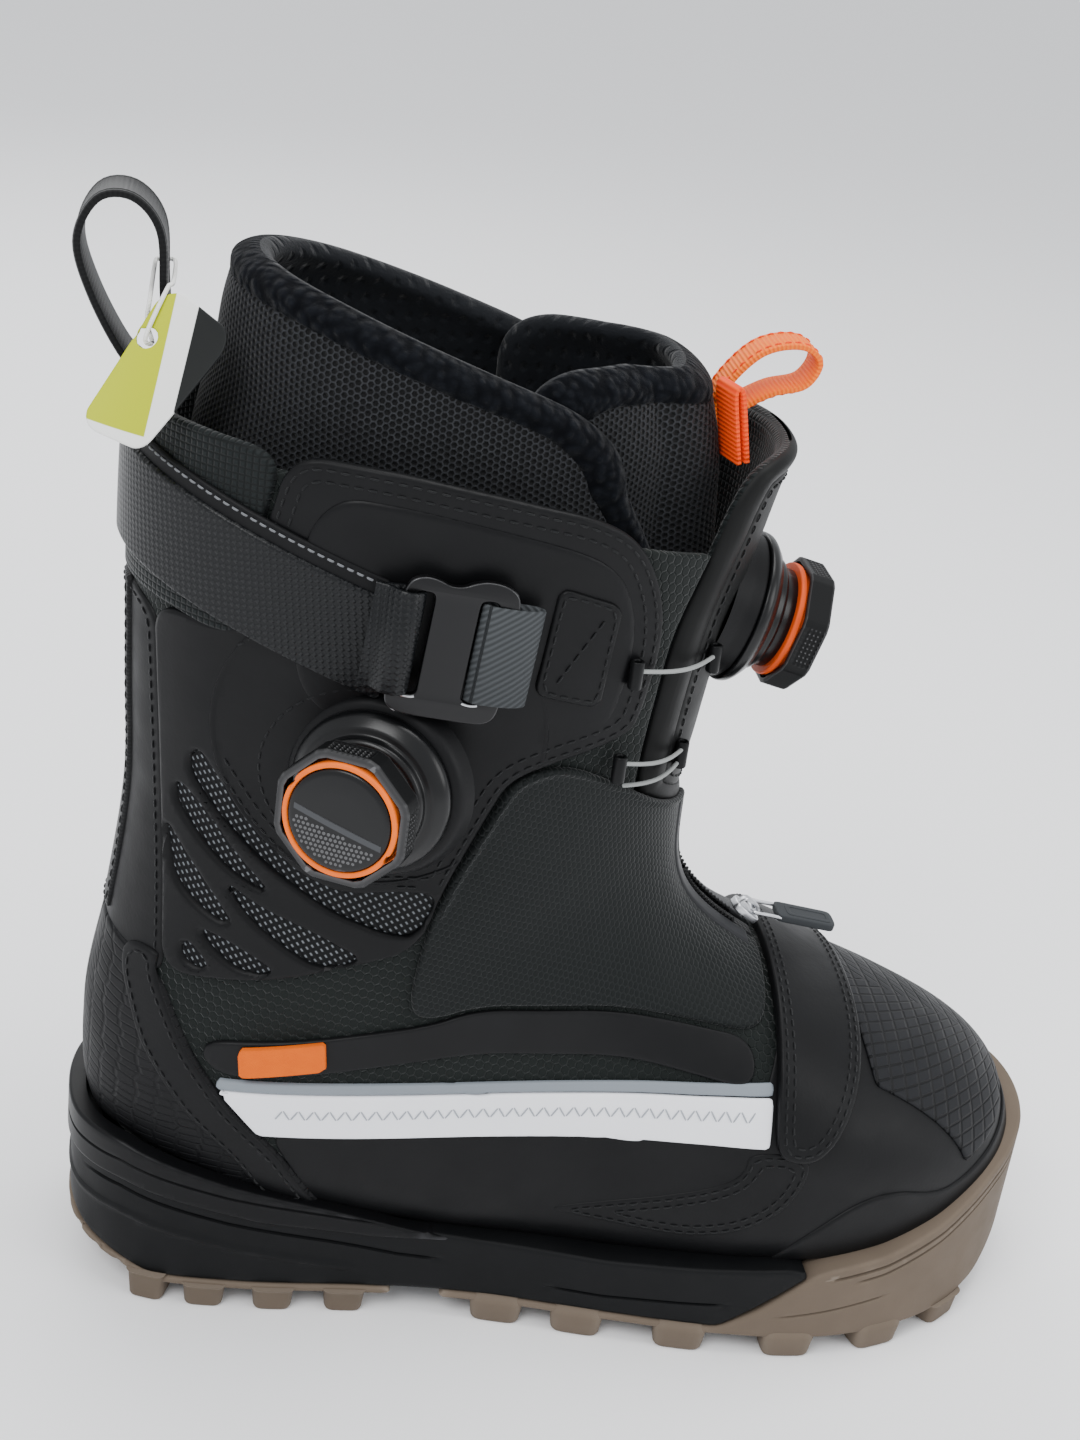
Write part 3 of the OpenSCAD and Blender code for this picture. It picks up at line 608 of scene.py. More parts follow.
def make_looks():
    quarter = look("quarter_fabric", (0.0028, 0.0047, 0.0041), 0.6, sheen=0.1)
    cell = quarter.honeycomb(2.6, (1, 0.8, 1), 12)
    quarter.bump(quarter.between_values(cell, 0.5, 0.36), 0.34, 0.9)
    quarter.bump(quarter.weave(0.45), 0.05, 0.6)
    quarter.tint(quarter.between_values(cell, 0.40, 0.5), (0.0096, 0.0124, 0.0116))
    quarter.tint(quarter.math("MULTIPLY", quarter.noise(40, 3), 0.35), (0.0083, 0.011, 0.0102))
    shroud = look("shroud_fabric", (0.003, 0.0044, 0.0044), 0.55, sheen=0.12)
    fine = shroud.honeycomb(1.7, (1, 0.7, 1), 12)
    shroud.bump(shroud.between_values(fine, 0.5, 0.3), 0.22, 0.8)
    shroud.tint(shroud.between_values(fine, 0.36, 0.5), (0.0083, 0.0102, 0.0102))
    shroud.bump(shroud.noise(16, 2), 1.2, 0.3)
    leather("coated", (0.0028, 0.0029, 0.0033), 0.46)
    leather("cuff_skin", (0.0025, 0.0026, 0.003), 0.42, depth=0.035)
    leather("tongue_skin", (0.0028, 0.003, 0.003), 0.5, depth=0.03)
    leather("band_skin", (0.0039, 0.004, 0.0044), 0.4, depth=0.02)
    leather("lip_skin", (0.014, 0.0145, 0.016), 0.45, depth=0.02)
    toe = leather("toe_skin", (0.0028, 0.0029, 0.0033), 0.5)
    cells = toe.grid(5.4, 4.2, 0.16)
    toe.bump(cells, 0.6, 1.0).tint(cells, (0.009, 0.0095, 0.011))
    counter = leather("counter_skin", (0.003, 0.0031, 0.0036), 0.5)
    scale = counter.cells(7, (1, 2.4, 1), "DISTANCE_TO_EDGE", 0.35)
    counter.bump(counter.between_values(scale, 0.02, 0.16), 0.4, 0.7)
    grained("foam", (0.0033, 0.0036, 0.0041), 0.55, 0.9, 0.06, 0.6, 3).roughen(12, 3, 0.45, 0.62)
    # The foxing's sharp edges are lightened: partly rubbed wear, partly a painted edge highlight.
    grained("foxing_rubber", (0.0036, 0.0037, 0.0042), 0.4, 1.2, 0.04).rubbed_and_glinting_edges((0.08, 0.08, 0.085), 0.4)
    tan = grained("tread_rubber", (0.13, 0.10, 0.075), 0.72, 0.8, 0.05, 0.6, 3)
    # The tread's sharp edges are lightened: partly rubbed wear, partly a painted edge highlight.
    tan.mottle(15, 4, (0.10, 0.078, 0.058)).roughen(9, 3, 0.62, 0.8).rubbed_and_glinting_edges((0.24, 0.20, 0.16), 0.5)
    white = grained("stripe_vinyl", (0.88, 0.885, 0.91), 0.42, 1.1, 0.03, 0.4, coat=0.2)
    white.mottle(18, 3, (0.8, 0.81, 0.86))
    grained("stripe_border", (0.2, 0.225, 0.25), 0.5, 1.1, 0.03, 0.4)
    for name, colour, rough in (("thread", (0.0083, 0.0088, 0.0094), 0.55),
                                ("silver_thread", (0.14, 0.145, 0.155), 0.4),
                                ("grey_thread", (0.3, 0.32, 0.35), 0.6)):
        grained(name, colour, rough, 0.3, 0.05, 0.6, 1, sheen=0.12)
    label = look("label", (0.72, 0.125, 0.002), 0.7)
    label.bump(label.weave(0.5), 0.06, 0.8).mottle(5, 2, (0.62, 0.095, 0.002))
    metal = look("zip_metal", (0.62, 0.63, 0.65), 0.28, metal=1.0)
    metal.bump(metal.noise(0.4, 2, (0.1, 1, 1)), 0.02, 0.5).roughen(3, 3, 0.2, 0.42)
    # The buckle's sharp edges are lightened: partly rubbed wear, partly a painted edge highlight.
    grained("buckle_metal", (0.0033, 0.0033, 0.0039), 0.34, 0.6, 0.02, 0.4, metal=0.3, coat=0.4).rubbed_and_glinting_edges(
        (0.5, 0.5, 0.52), 0.8)
    grained("puller_rubber", (0.03, 0.033, 0.036), 0.5, 0.5, 0.04)
    ribbed = look("webbing", (0.003, 0.0031, 0.0036), 0.55, sheen=0.12)
    threads = ribbed.weave(0.9, 45)
    ribbed.bump(threads, 0.18, 0.9).tint(threads, (0.0077, 0.008, 0.0085))
    grid = look("gusset_fabric", (0.0028, 0.0039, 0.0039), 0.6, sheen=0.12)
    squares = grid.grid(1.9, 1.9, 0.3)
    grid.bump(squares, 0.3, 0.9).tint(squares, (0.0066, 0.0091, 0.0094))
    strap = look("strap", (0.0044, 0.005, 0.0058), 0.42, coat=0.15)
    dots = strap.weave(1.25, 38)
    strap.bump(strap.between_values(dots, 0.35, 0.9), 0.35, 0.9)
    strap.tint(strap.between_values(dots, 0.6, 1), (0.0096, 0.0105, 0.0116))
    twill = look("grey_webbing", (0.028, 0.031, 0.033), 0.6)
    ridges = twill.waves(1.5, turn=52)
    twill.bump(ridges, 0.22, 0.9).tint(ridges, (0.055, 0.06, 0.064))
    mesh = look("liner_mesh", (0.0022, 0.0023, 0.0026), 0.75, sheen=0.07)
    holes = mesh.honeycomb(1.9, (1, 1, 1), 30)
    mesh.bump(mesh.between_values(holes, 0.1, 0.42), 0.5, 1.0)
    flecks = mesh.math("MULTIPLY", mesh.between_values(holes, 0.3, 0.48), mesh.noise(1.3, 2))
    mesh.tint(flecks, (0.04, 0.042, 0.047))
    fleece = look("fleece", (0.0024, 0.0027, 0.0036), 1.0, sheen=0.07, specular=0.03)
    nubs = fleece.between_values(fleece.cells(2.4, feature="SMOOTH_F1"), 0.75, 0.1)
    fleece.bump(nubs, 0.8, 0.9).bump(fleece.noise(0.9, 5, rough=0.8), 0.35, 0.9)
    fleece.tint(fleece.math("MULTIPLY", nubs, fleece.noise(1.1, 4, rough=0.7)), (0.011, 0.0125, 0.016))
    dimple = look("lining", (0.003, 0.0036, 0.0047), 0.9, sheen=0.12)
    pits = dimple.honeycomb(6, (1, 1, 1), 0)
    dimple.bump(dimple.between_values(pits, 0.0, 0.3), 1.0, 0.8)
    dimple.bump(dimple.noise(1.1, 4, rough=0.7), 0.4, 0.8).mottle(1.6, 4, (0.0066, 0.0077, 0.0099))
    vent = look("vent_mesh", (0.0033, 0.0036, 0.0041), 0.6)
    bars = vent.waves(1.7, turn=-35)
    vent.bump(bars, 0.3, 1.0)
    vent.tint(vent.math("MULTIPLY", vent.between_values(bars, 0.55, 0.95),
                        vent.between_values(vent.waves(2.3, turn=60), 0.35, 0.8)), (0.13, 0.14, 0.15))
    # The dial parts' sharp edges are lightened: partly rubbed wear, partly a painted edge highlight.
    grained("dial_black", (0.0033, 0.0035, 0.0039), 0.3, 0.5, 0.015, 0.4, coat=0.3).rubbed_and_glinting_edges(
        (0.07, 0.07, 0.075), 0.5)
    grained("dial_grip", (0.005, 0.0052, 0.0055), 0.42, 0.5, 0.03).rubbed_and_glinting_edges((0.16, 0.16, 0.165), 0.7)
    grained("dial_orange", (0.90, 0.17, 0.012), 0.45, 0.6, 0.02, 0.4).mottle(6, 2, (0.8, 0.13, 0.01))
    grained("dial_orange_deep", (0.72, 0.09, 0.012), 0.45, 0.6, 0.02, 0.4).mottle(6, 2, (0.62, 0.07, 0.01))
    grained("dial_bar", (0.06, 0.062, 0.066), 0.3, 0.4, 0.01, 0.4, metal=0.6)
    lace = look("lace", (0.26, 0.27, 0.265), 0.5)
    lace.bump(lace.weave(0.5, 45), 0.06, 0.8)
    cloth = look("orange_cloth", (0.80, 0.045, 0.003), 0.65)
    threads = cloth.waves(1.3)
    cloth.bump(threads, 0.25, 0.9).tint(threads, (0.85, 0.08, 0.006))
    tape = look("orange_webbing", (0.85, 0.12, 0.004), 0.6)
    threads = tape.waves(1.2, turn=90)
    tape.bump(threads, 0.2, 0.9).tint(threads, (0.9, 0.19, 0.01))
    string = look("string", (0.8, 0.8, 0.78), 0.6)
    string.bump(string.waves(0.6, turn=40), 0.08, 0.9)
    card = grained("tag_card", (0.42, 0.47, 0.002), 0.45, 1.5, 0.01, 0.3)
    x, y, _ = card.parts(card.mm)
    slant = card.math("MULTIPLY_ADD", y, 0.22, x)
    card.tint(card.between_values(slant, 5.6, 5.9), (0.82, 0.82, 0.80))
    card.tint(card.between_values(slant, 13.0, 13.3), (0.012, 0.013, 0.013))
    card.tint(card.between_values(y, -25.4, -25.7), (0.82, 0.82, 0.80))
    grained("guide", (0.0044, 0.0047, 0.005), 0.38, 0.6, 0.03)
    grained("footbed_foam", (0.0083, 0.0096, 0.0116), 0.9, 0.8, 0.1, 0.8, 3, sheen=0.4)


# ---------------------------------------------------------------- camera, floor and light
def place(point):
    return Vector(((np.asarray(point, float) - ORIGIN) * MM).tolist())


def set_stage():
    azimuth, elevation, roll = (math.radians(a) for a in (-10.26, 25.47, 7.69))
    back = Vector((math.sin(azimuth) * math.cos(elevation), -math.cos(azimuth) * math.cos(elevation),
                   math.sin(elevation)))
    right = Vector((math.cos(azimuth), math.sin(azimuth), 0))
    up = back.cross(right)
    right, up = (right * math.cos(roll) + up * math.sin(roll), up * math.cos(roll) - right * math.sin(roll))
    camera = bpy.data.objects.new("camera", bpy.data.cameras.new("camera"))
    bpy.context.scene.collection.objects.link(camera)
    camera.matrix_world = Matrix.Translation(place([32.9, -557.3, 460.9])) @ Matrix(
        (right, up, back)).transposed().to_4x4()
    camera.data.sensor_width = 36
    camera.data.lens = 52.26
    camera.data.clip_start = 0.02
    bpy.context.scene.camera = camera
    floor = bpy.data.objects.new("floor", bpy.data.meshes.new("floor"))
    floor.data.from_pydata([(-6, -6, 0), (6, -6, 0), (6, 6, 0), (-6, 6, 0)], [], [(0, 1, 2, 3)])
    pale = bpy.data.materials.new("floor")
    pale.use_nodes = True
    shader = next(n for n in pale.node_tree.nodes if n.type == "BSDF_PRINCIPLED")
    shader.inputs["Base Color"].default_value = (0.93, 0.93, 0.94, 1)
    shader.inputs["Roughness"].default_value = 0.8
    floor.data.materials.append(pale)
    bpy.context.scene.collection.objects.link(floor)
    world = bpy.data.worlds.new("studio")
    world.use_nodes = True
    world.node_tree.nodes["Background"].inputs[0].default_value = (0.95, 0.97, 1, 1)
    world.node_tree.nodes["Background"].inputs[1].default_value = 1.1
    bpy.context.scene.world = world
    middle = place([150, 0, 150])
    for name, spot, size, power in (("key", (-0.75, -0.9, 1.5), 0.8, 18), ("top", (0.3, 0.1, 1.6), 0.9, 14),
                                    ("side", (1.2, -0.7, 0.7), 0.7, 7), ("rear", (-0.4, 1.2, 1.0), 0.9, 7)):
        lamp = bpy.data.lights.new(name, "AREA")
        lamp.size, lamp.energy = size, power
        light = bpy.data.objects.new(name, lamp)
        light.location = spot
        light.rotation_mode = "QUATERNION"
        light.rotation_quaternion = (middle - Vector(spot)).to_track_quat("-Z", "Y")
        bpy.context.scene.collection.objects.link(light)


set_stage()
make_looks()


# ---------------------------------------------------------------- the outer boot
def throat(points, grown):
    """Distance inside the front opening, where the tongue lies."""
    line = TONGUE_EDGE + [[42, 330], [0, 330]]
    outline = line + [[-y, z] for y, z in line[::-1]]
    v = inside(points[:, 1], points[:, 2], soften(outline, 4)) + grown
    return np.where(points[:, 0] > 100, v, OUTSIDE)


def shell_field(points, params):
    top = np.interp(points[:, 0], [-20, 60, 150, 230], [283, 279, 266, 252])
    return np.minimum(top - points[:, 2], -throat(points, 1.6))


def make_outer():
    shell = Patch(shell_field, lambda v, p, points: -0.8 + 0.8 * round_edge(v, 1.0), depth=-2.4, edge=1.0)
    shell.make("outer_shell", "boot", "quarter_fabric", "quarter_fabric", ["outer_shell"])
    lining = Patch(lambda points, params: np.minimum(shell_field(points, params) - 0.3,
                                                     params[:, 0] * 30 - 285),
                   lambda v, p, points: np.full(len(v), -2.5), depth=-2.5)
    lining.make("outer_lining", "boot", "gusset_fabric", "quarter_fabric")


def panel(name, outline, nodes=(), side="both", material="coated", slot="coated", stitches=(), soft=5.0,
          thick=PANEL_WALL, start=LAYER_GAP, levels=(), profile=None, also=None, edge=1.2, creases=(),
          where=None, depth=None):
    """A sewn panel over the boot's shape, with rows of stitches at the given distances from its edge."""
    made = Patch(outline_field(outline, side, soft, also), profile or flat_panel(start, thick, edge),
                 [*levels, *stitches], depth=start - 0.5 if depth is None else depth, edge=edge,
                 creases=creases)
    made.make(name, "boot", material, slot, nodes)
    rows = [line for d in stitches for line in made.contour(d, where=where)]
    if rows:
        stitch_rows(name + "_stitches", rows, "boot", "thread", slot)


def ring_crease(x, z, radius, low=-1e9):
    """Distance from a circle seen from the side, on the outer side only."""
    def field(points, params):
        away = np.hypot(points[:, 0] - x, points[:, 2] - z) - radius
        return np.where((params[:, 1] >= 180) & (points[:, 2] > low), away, -OUTSIDE)
    return field


VENTS = [
    [[33, 195], [30, 187], [38, 176], [54, 162], [72, 150], [90, 143], [98, 143], [103, 157], [92, 158],
     [76, 156], [63, 161], [49, 173], [40, 185]],
    [[28, 182], [27, 175], [36, 164], [46, 156], [57, 152], [46, 163], [35, 176]],
    [[25, 168], [28, 150], [37, 142], [47, 139], [38, 151], [30, 161]],
    [[41, 155], [49, 144], [60, 136], [71, 130], [84, 134], [69, 142], [53, 148]],
    [[35, 137], [41, 130], [50, 125], [60, 127], [49, 133], [41, 136]],
    [[31, 131], [32, 124], [41, 123], [35, 131]]]


def vents(points):
    """Distance inside the nearest vent of the rear quarter."""
    return np.max([inside(points[:, 0], points[:, 2], soften(v, 3, 2)) for v in VENTS], axis=0)


def zip_slot(p):
    """Half the width of the shroud's open slot, by height."""
    return 7.5 - 3.0 * np.clip((150 - p[:, 2]) / 24, 0, 1)


def make_lower_panels():
    guard = [[84, 26], [59, 69], [120, 75.5], [206, 82.5], [209, 92], [216, 112], [238, 118], [262, 105],
             [320, 80], [330, 20], [120, 15]]
    panel("mud_guard", guard, start=0.05, thick=0.5, edge=0.8, depth=-0.3, also=above_sole)
    seam = [[206, 76], [226, 76], [225, 64], [219, 53], [208, 45], [196, 41], [186, 40], [150, 44],
            [150, 46], [186, 56], [200, 62], [206, 68]]
    panel("toe_seam", seam, stitches=[1.6, 4.2], start=0.5, thick=0.5, edge=0.8, depth=0.3, soft=6)
    rand = [[214, 20], [224, 40], [243, 57], [258, 60], [268, 56], [279, 54], [297, 61], [330, 72],
            [330, 20]]
    panel("toe_rand", rand, ["toe_rand"], thick=0.9, start=0.5, also=above_sole)
    cap = [[238, 130], [244, 104], [250, 84], [262, 68], [278, 60], [296, 64], [330, 76], [330, 130]]
    panel("toe_cap", cap, ["toe_cap"], material="toe_skin", thick=1.2, start=0.5, depth=0.3,
          also=lambda p, q: np.minimum(above_sole(p, q), 44 - np.abs(p[:, 1] - 4)))
    counter = [[-20, 20], [-20, 124], [6, 124]] + COUNTER_FRONT
    panel("heel_counter", counter, ["heel_counter"], material="counter_skin", thick=1.1, also=above_sole)
    front = [[x - 0.5, z] for x, z in COUNTER_FRONT]
    back = [[x - 13 + 3 * (z > 100), z - 3] for x, z in COUNTER_FRONT[::-1]]
    panel("counter_strip", [[26, 124]] + front + back + [[16, 124]], start=1.6, thick=0.7, also=above_sole,
          soft=3, edge=0.9, stitches=[1.8])
    spine = [[-20, 118], [24, 116], [26, 121], [25, 150], [22, 192], [19, 232], [-20, 232]]
    panel("heel_spine", spine, start=0.05, thick=0.9, edge=1.0, depth=-0.3, stitches=[2.2])


def make_side_panels(side):
    stripe = [[44.2, 82.4], [212, 92.6], [212, 77.4], [57.2, 67.2]]
    panel("stripe_" + side, stripe, ["stripe_" + side], side, "stripe_vinyl", "stripe_vinyl",
          also=above_sole, edge=0.6, soft=0.8, thick=1.0)
    border = [[43, 86.4], [212, 96.6], [212, 93], [44, 82.8]]
    panel("stripe_border_" + side, border, [], side, "stripe_border", "stripe_vinyl", edge=0.6, soft=0.6,
          thick=0.7)
    panel("band_" + side, BAND, ["band_" + side], side, "band_skin", edge=0.8, thick=0.9)
    quarter = (QUARTER_BACK + QUARTER_FRONT + [[140, 204], [150, 208]] + CUFF_EDGE[::-1]
               + [[44, 250], [43, 232], [19, 234], [22, 194], [25, 150]])
    panel("quarter_" + side, quarter, ["quarter_" + side, "cuff_" + side], side, "cuff_skin",
          stitches=[2.4, 5.6], where=lambda p: (p[:, 2] > 160) & (p[:, 0] > 40),
          also=lambda p, q: -vents(p),
          creases=[(ring_crease(82, 206, 45), 0.7, 0.35)] if side == "lateral" else [])
    pad = [[62, 277], [82, 276.5], [106, 272.5], [130, 267], [140, 261], [145.5, 251], [148, 238],
           [146, 216], [139, 206], [92, 206], [60, 214], [54, 250]]
    start = 2.05
    panel("cuff_pad_" + side, pad, [], side, "cuff_skin", soft=7, depth=1.8, edge=1.8,
          profile=lambda v, q, p: start + 0.85 * round_edge(v, 1.8) * np.clip((p[:, 2] - 208) / 26, 0, 1))
    panel("vent_mesh_" + side, [[20, 100], [115, 100], [115, 205], [20, 205]], [], side, "vent_mesh",
          "padding", start=0.1, thick=0.6, soft=0, edge=1.4, depth=-0.2, also=lambda p, q: vents(p) + 1.2)


def make_upper_panels():
    gusset = [[-20, 236], [18, 235], [44, 229], [43, 250], [50, 285], [20, 287], [-20, 287]]
    panel("rear_gusset", gusset, ["rear_gusset"], "both", "gusset_fabric", "webbing")
    stay = [[-20, 126], [7, 126], [23, 121], [21, 150], [18, 194], [15, 234], [-20, 234]]
    panel("back_stay", stay, ["back_stay"], "both", "webbing", "webbing", [1.6], start=1.0, thick=1.2,
          also=lambda p, q: np.where(p[:, 0] < 60, 9 - np.abs(p[:, 1]), OUTSIDE))
    shroud = [[100, 139], [104, 157], [116, 187]] + SHROUD_TOP + [
        [212, 150], [212, 115], [207, 108], [161, 117.5], [119, 118.5], [105, 113], [98, 116]]
    # The shroud's edge is bound: a bead runs 1.6 mm inside it, above the instep
    panel("lace_shroud", shroud, ["lace_shroud"], "both", "shroud_fabric", "shroud_fabric",
          levels=[0.8, 1.6, 2.4, 3.2],
          also=lambda p, q: np.where(p[:, 0] > 140, np.abs(p[:, 1]) - zip_slot(p), -OUTSIDE),
          profile=lambda v, q, p: 0.6 + 1.2 * round_edge(v, 1.2) + 0.9 * np.clip(
              1 - np.abs(v - 1.6) / 1.6, 0, 1) * (p[:, 2] > 150))
    panel("zip_tape", [[170, 112], [211, 112], [211, 150], [170, 150]], ["zip_tape"], "both", "webbing",
          "zip_cloth", thick=0.8, soft=0, also=lambda p, q: zip_slot(p) - 1.2 - np.abs(p[:, 1]))
    lips = [[166, 118], [206, 118], [212, 130], [200, 148], [190, 168], [184, 174], [166, 174]]
    panel("zip_lips", lips, [], "both", "lip_skin", "shroud_fabric", [5.2], start=1.5, thick=0.9, soft=3,
          depth=1.2, also=lambda p, q: 3.4 - np.abs(np.abs(p[:, 1]) - zip_slot(p) - 3.1))
    teeth = [on_front(np.array([[x, side * (3.2 + 2.2 * (1 - f)), z] for f, x, z in (
        (1, 207, 127.4), (0.66, 200, 133.4), (0.33, 194, 141), (0, 189.5, 150))]), 1.9) for side in (-1, 1)]
    stitch_rows("zip_teeth", teeth, "boot", "guide", "zip_metal", length=1.1, gap=0.5, radius=0.75,
                rise=0.1)
    flap = [[214, 134], [212.6, 78], [219, 74], [229, 75], [240, 90], [246, 104], [246, 116], [238, 130]]
    panel("vamp_flap", flap, ["vamp_flap"], stitches=[2.2, 4.6], start=SECOND, depth=0.7, soft=8)
    panel("side_label", [[50, 100], [75, 105], [76, 95], [51, 90]], ["side_label"], "lateral", "label",
          "label", start=2.4, thick=1.0, soft=0.6, edge=0.4)
    zigzag = []
    for side in (-1, 1):
        line = np.array([[x, 76.5 + (x - 62) * 0.068 + (1.9 if k % 2 else -1.9)]
                         for k, x in enumerate(np.arange(62, 209, 2.3))])
        zigzag += [on_side(line[k:k + 2], side, 1.6, 2) for k in range(len(line) - 1)]
    stitch_rows("stripe_zigzag", zigzag, "boot", "grey_thread", "stripe_vinyl", length=4.0, gap=0.1,
                radius=0.2, rise=0.05)


SURFACE = BVHTree.FromPolygons([Vector(p) for p in shape(FORM[:, 0], FORM[:, 1], 0.0)],
                               [tuple(int(i) for i in f) for f in FORM_FACES])


def cast(points, direction, rise):
    """The points moved along a direction onto the boot's shape, and its normals there."""
    found, normals = [], []
    for p in points:
        hit, normal, _, _ = SURFACE.ray_cast(Vector(p), Vector(direction))
        if hit is None:
            hit, normal, _, _ = SURFACE.find_nearest(Vector(p))
        if normal.dot(Vector(direction)) > 0:
            normal = -normal
        found.append(np.array(hit + normal * rise))
        normals.append(np.array(normal))
    return np.array(found), np.array(normals)


def on_side(line, side, rise, step=1.5):
    """A side view line of (x, z) laid on the boot's outer (-1) or inner (1) side."""
    line, = resample(np.asarray(line, float), step)
    return cast([(x, side * 200, z) for x, z in line], (0, -side, 0), rise)


def on_front(line, rise):
    """A line laid on the boot's instep, moved back along X onto it."""
    line, = resample(line, 1.5)
    return cast([(x + 60, y, z + 45) for x, y, z in line], (-0.8, 0, -0.6), rise)


make_outer()
make_lower_panels()
for boot_side in ("lateral", "medial"):
    make_side_panels(boot_side)
make_upper_panels()


# ---------------------------------------------------------------- the sole
def plan_at(along):
    """Points and outward normals of the sole's plan, by the distance along it as a share of 1."""
    plan, n = np.array(SOLE_PLAN, float), len(SOLE_PLAN)

    def at(a):
        a = (np.asarray(a, float) % 1) * n
        k = a.astype(int)
        return between(plan[(k - 1) % n], plan[k % n], plan[(k + 1) % n], plan[(k + 2) % n],
                       (a - k)[:, None])

    here, way = at(along), unit(at(np.asarray(along) + 2e-3) - at(np.asarray(along) - 2e-3))
    return here, np.stack([-way[:, 1], way[:, 0]], 1)


def wall(along, z, grow):
    """Points of the sole's side wall: share along the plan, height, and distance out of it."""
    here, normal = plan_at(along)
    out = here - normal * (np.zeros(len(here)) + grow)[:, None] * np.sign(PLAN_TURN)
    return np.column_stack([out, z])


def make_wall_grid(columns=460, rows=34, top=68.0):
    along, z = (m.ravel() for m in np.meshgrid(np.linspace(0, 1, columns), np.linspace(0, top, rows),
                                               indexing="ij"))
    here, _ = plan_at(along)
    length = np.linalg.norm(np.diff(plan_at(np.linspace(0, 1, columns))[0], axis=0), axis=1)
    u = np.repeat(np.concatenate([[0], np.cumsum(length)]), rows)
    return np.stack([along, z, u, z], 1), quads(columns, rows), np.column_stack([here, z]), wall


_corner = np.array(SOLE_PLAN, float)
PLAN_TURN = float(np.sum(_corner[:, 0] * np.roll(_corner[:, 1], -1) - np.roll(_corner[:, 0], -1)
                         * _corner[:, 1]))
WALL = make_wall_grid()


def along_top(below, half, depth, first, last):
    """A groove or ridge at a distance under the sole's top edge, fading out at two places."""
    return (lambda p, q: sole_top(p[:, 0]) - below - p[:, 2], half,
            lambda p: depth * np.clip(np.minimum(p[:, 0] - first, last - p[:, 0]) / 5, 0, 1))


def sole_piece(name, outline, material, slot, nodes, creases=(), out=0.0, edge=1.3, soft=1.2, depth=-9.0):
    smooth = soften(outline, soft, 2)
    made = Patch(lambda p, q: inside(p[:, 0], p[:, 2], smooth),
                 lambda v, q, p: out - 1.3 + 1.3 * round_edge(v, edge), depth=depth, edge=edge,
                 surface=WALL, creases=creases)
    made.make(name, "boot", material, slot, nodes)


def plate(name, start, stop, height, material, slot, inset=1.2, rows=40, columns=18):
    """The underside between two places along the boot, at a height given by a function of x."""
    edge = plan_at(np.linspace(0, 1, 400))[0]
    points = []
    for x in np.linspace(start, stop, rows):
        crossing = [a[1] + (b[1] - a[1]) * (x - a[0]) / (b[0] - a[0])
                    for a, b in zip(edge, np.roll(edge, -1, 0)) if (a[0] > x) != (b[0] > x)]
        low, high = (min(crossing) + inset, max(crossing) - inset) if len(crossing) > 1 else (0, 0)
        points += [[x, low + (high - low) * k / (columns - 1), height(x)] for k in range(columns)]
    return thing(name, points, quads(rows, columns), "boot", material, slot, merge=0)


def block(at, size, turn=0.0, top=6.0, square=5.0, domed=False):
    """A lug: a rounded block standing down from a height to the ground, as points and faces."""
    sides = 28
    angles = np.arange(sides) * 2 * np.pi / sides
    ring = np.stack([rounded(np.cos(angles), square), rounded(np.sin(angles), square)], 1)
    levels = [(0.0, 0.80), (0.25, 0.88), (1.0, 0.93), (top - 1.2, 1.02), (top, 1.12)]
    if domed:
        levels = levels[:-1] + [(top, 0.98), (top + 1.4, 0.86), (top + 2.2, 0.5)]
    c, s = math.cos(math.radians(turn)), math.sin(math.radians(turn))
    points = []
    for z, scale in levels:
        p = ring * scale * np.array(size) / 2
        points += [[at[0] + c * x - s * y, at[1] + s * x + c * y, z] for x, y in p]
    return points, quads(len(levels), sides, True).tolist() + caps(len(levels), sides)


def blocks(name, lugs):
    points, faces, _ = joined(block(**words) for words in lugs)
    return thing(name, points, faces, "boot", "tread_rubber", "tread_rubber", merge=0, sharp=50)


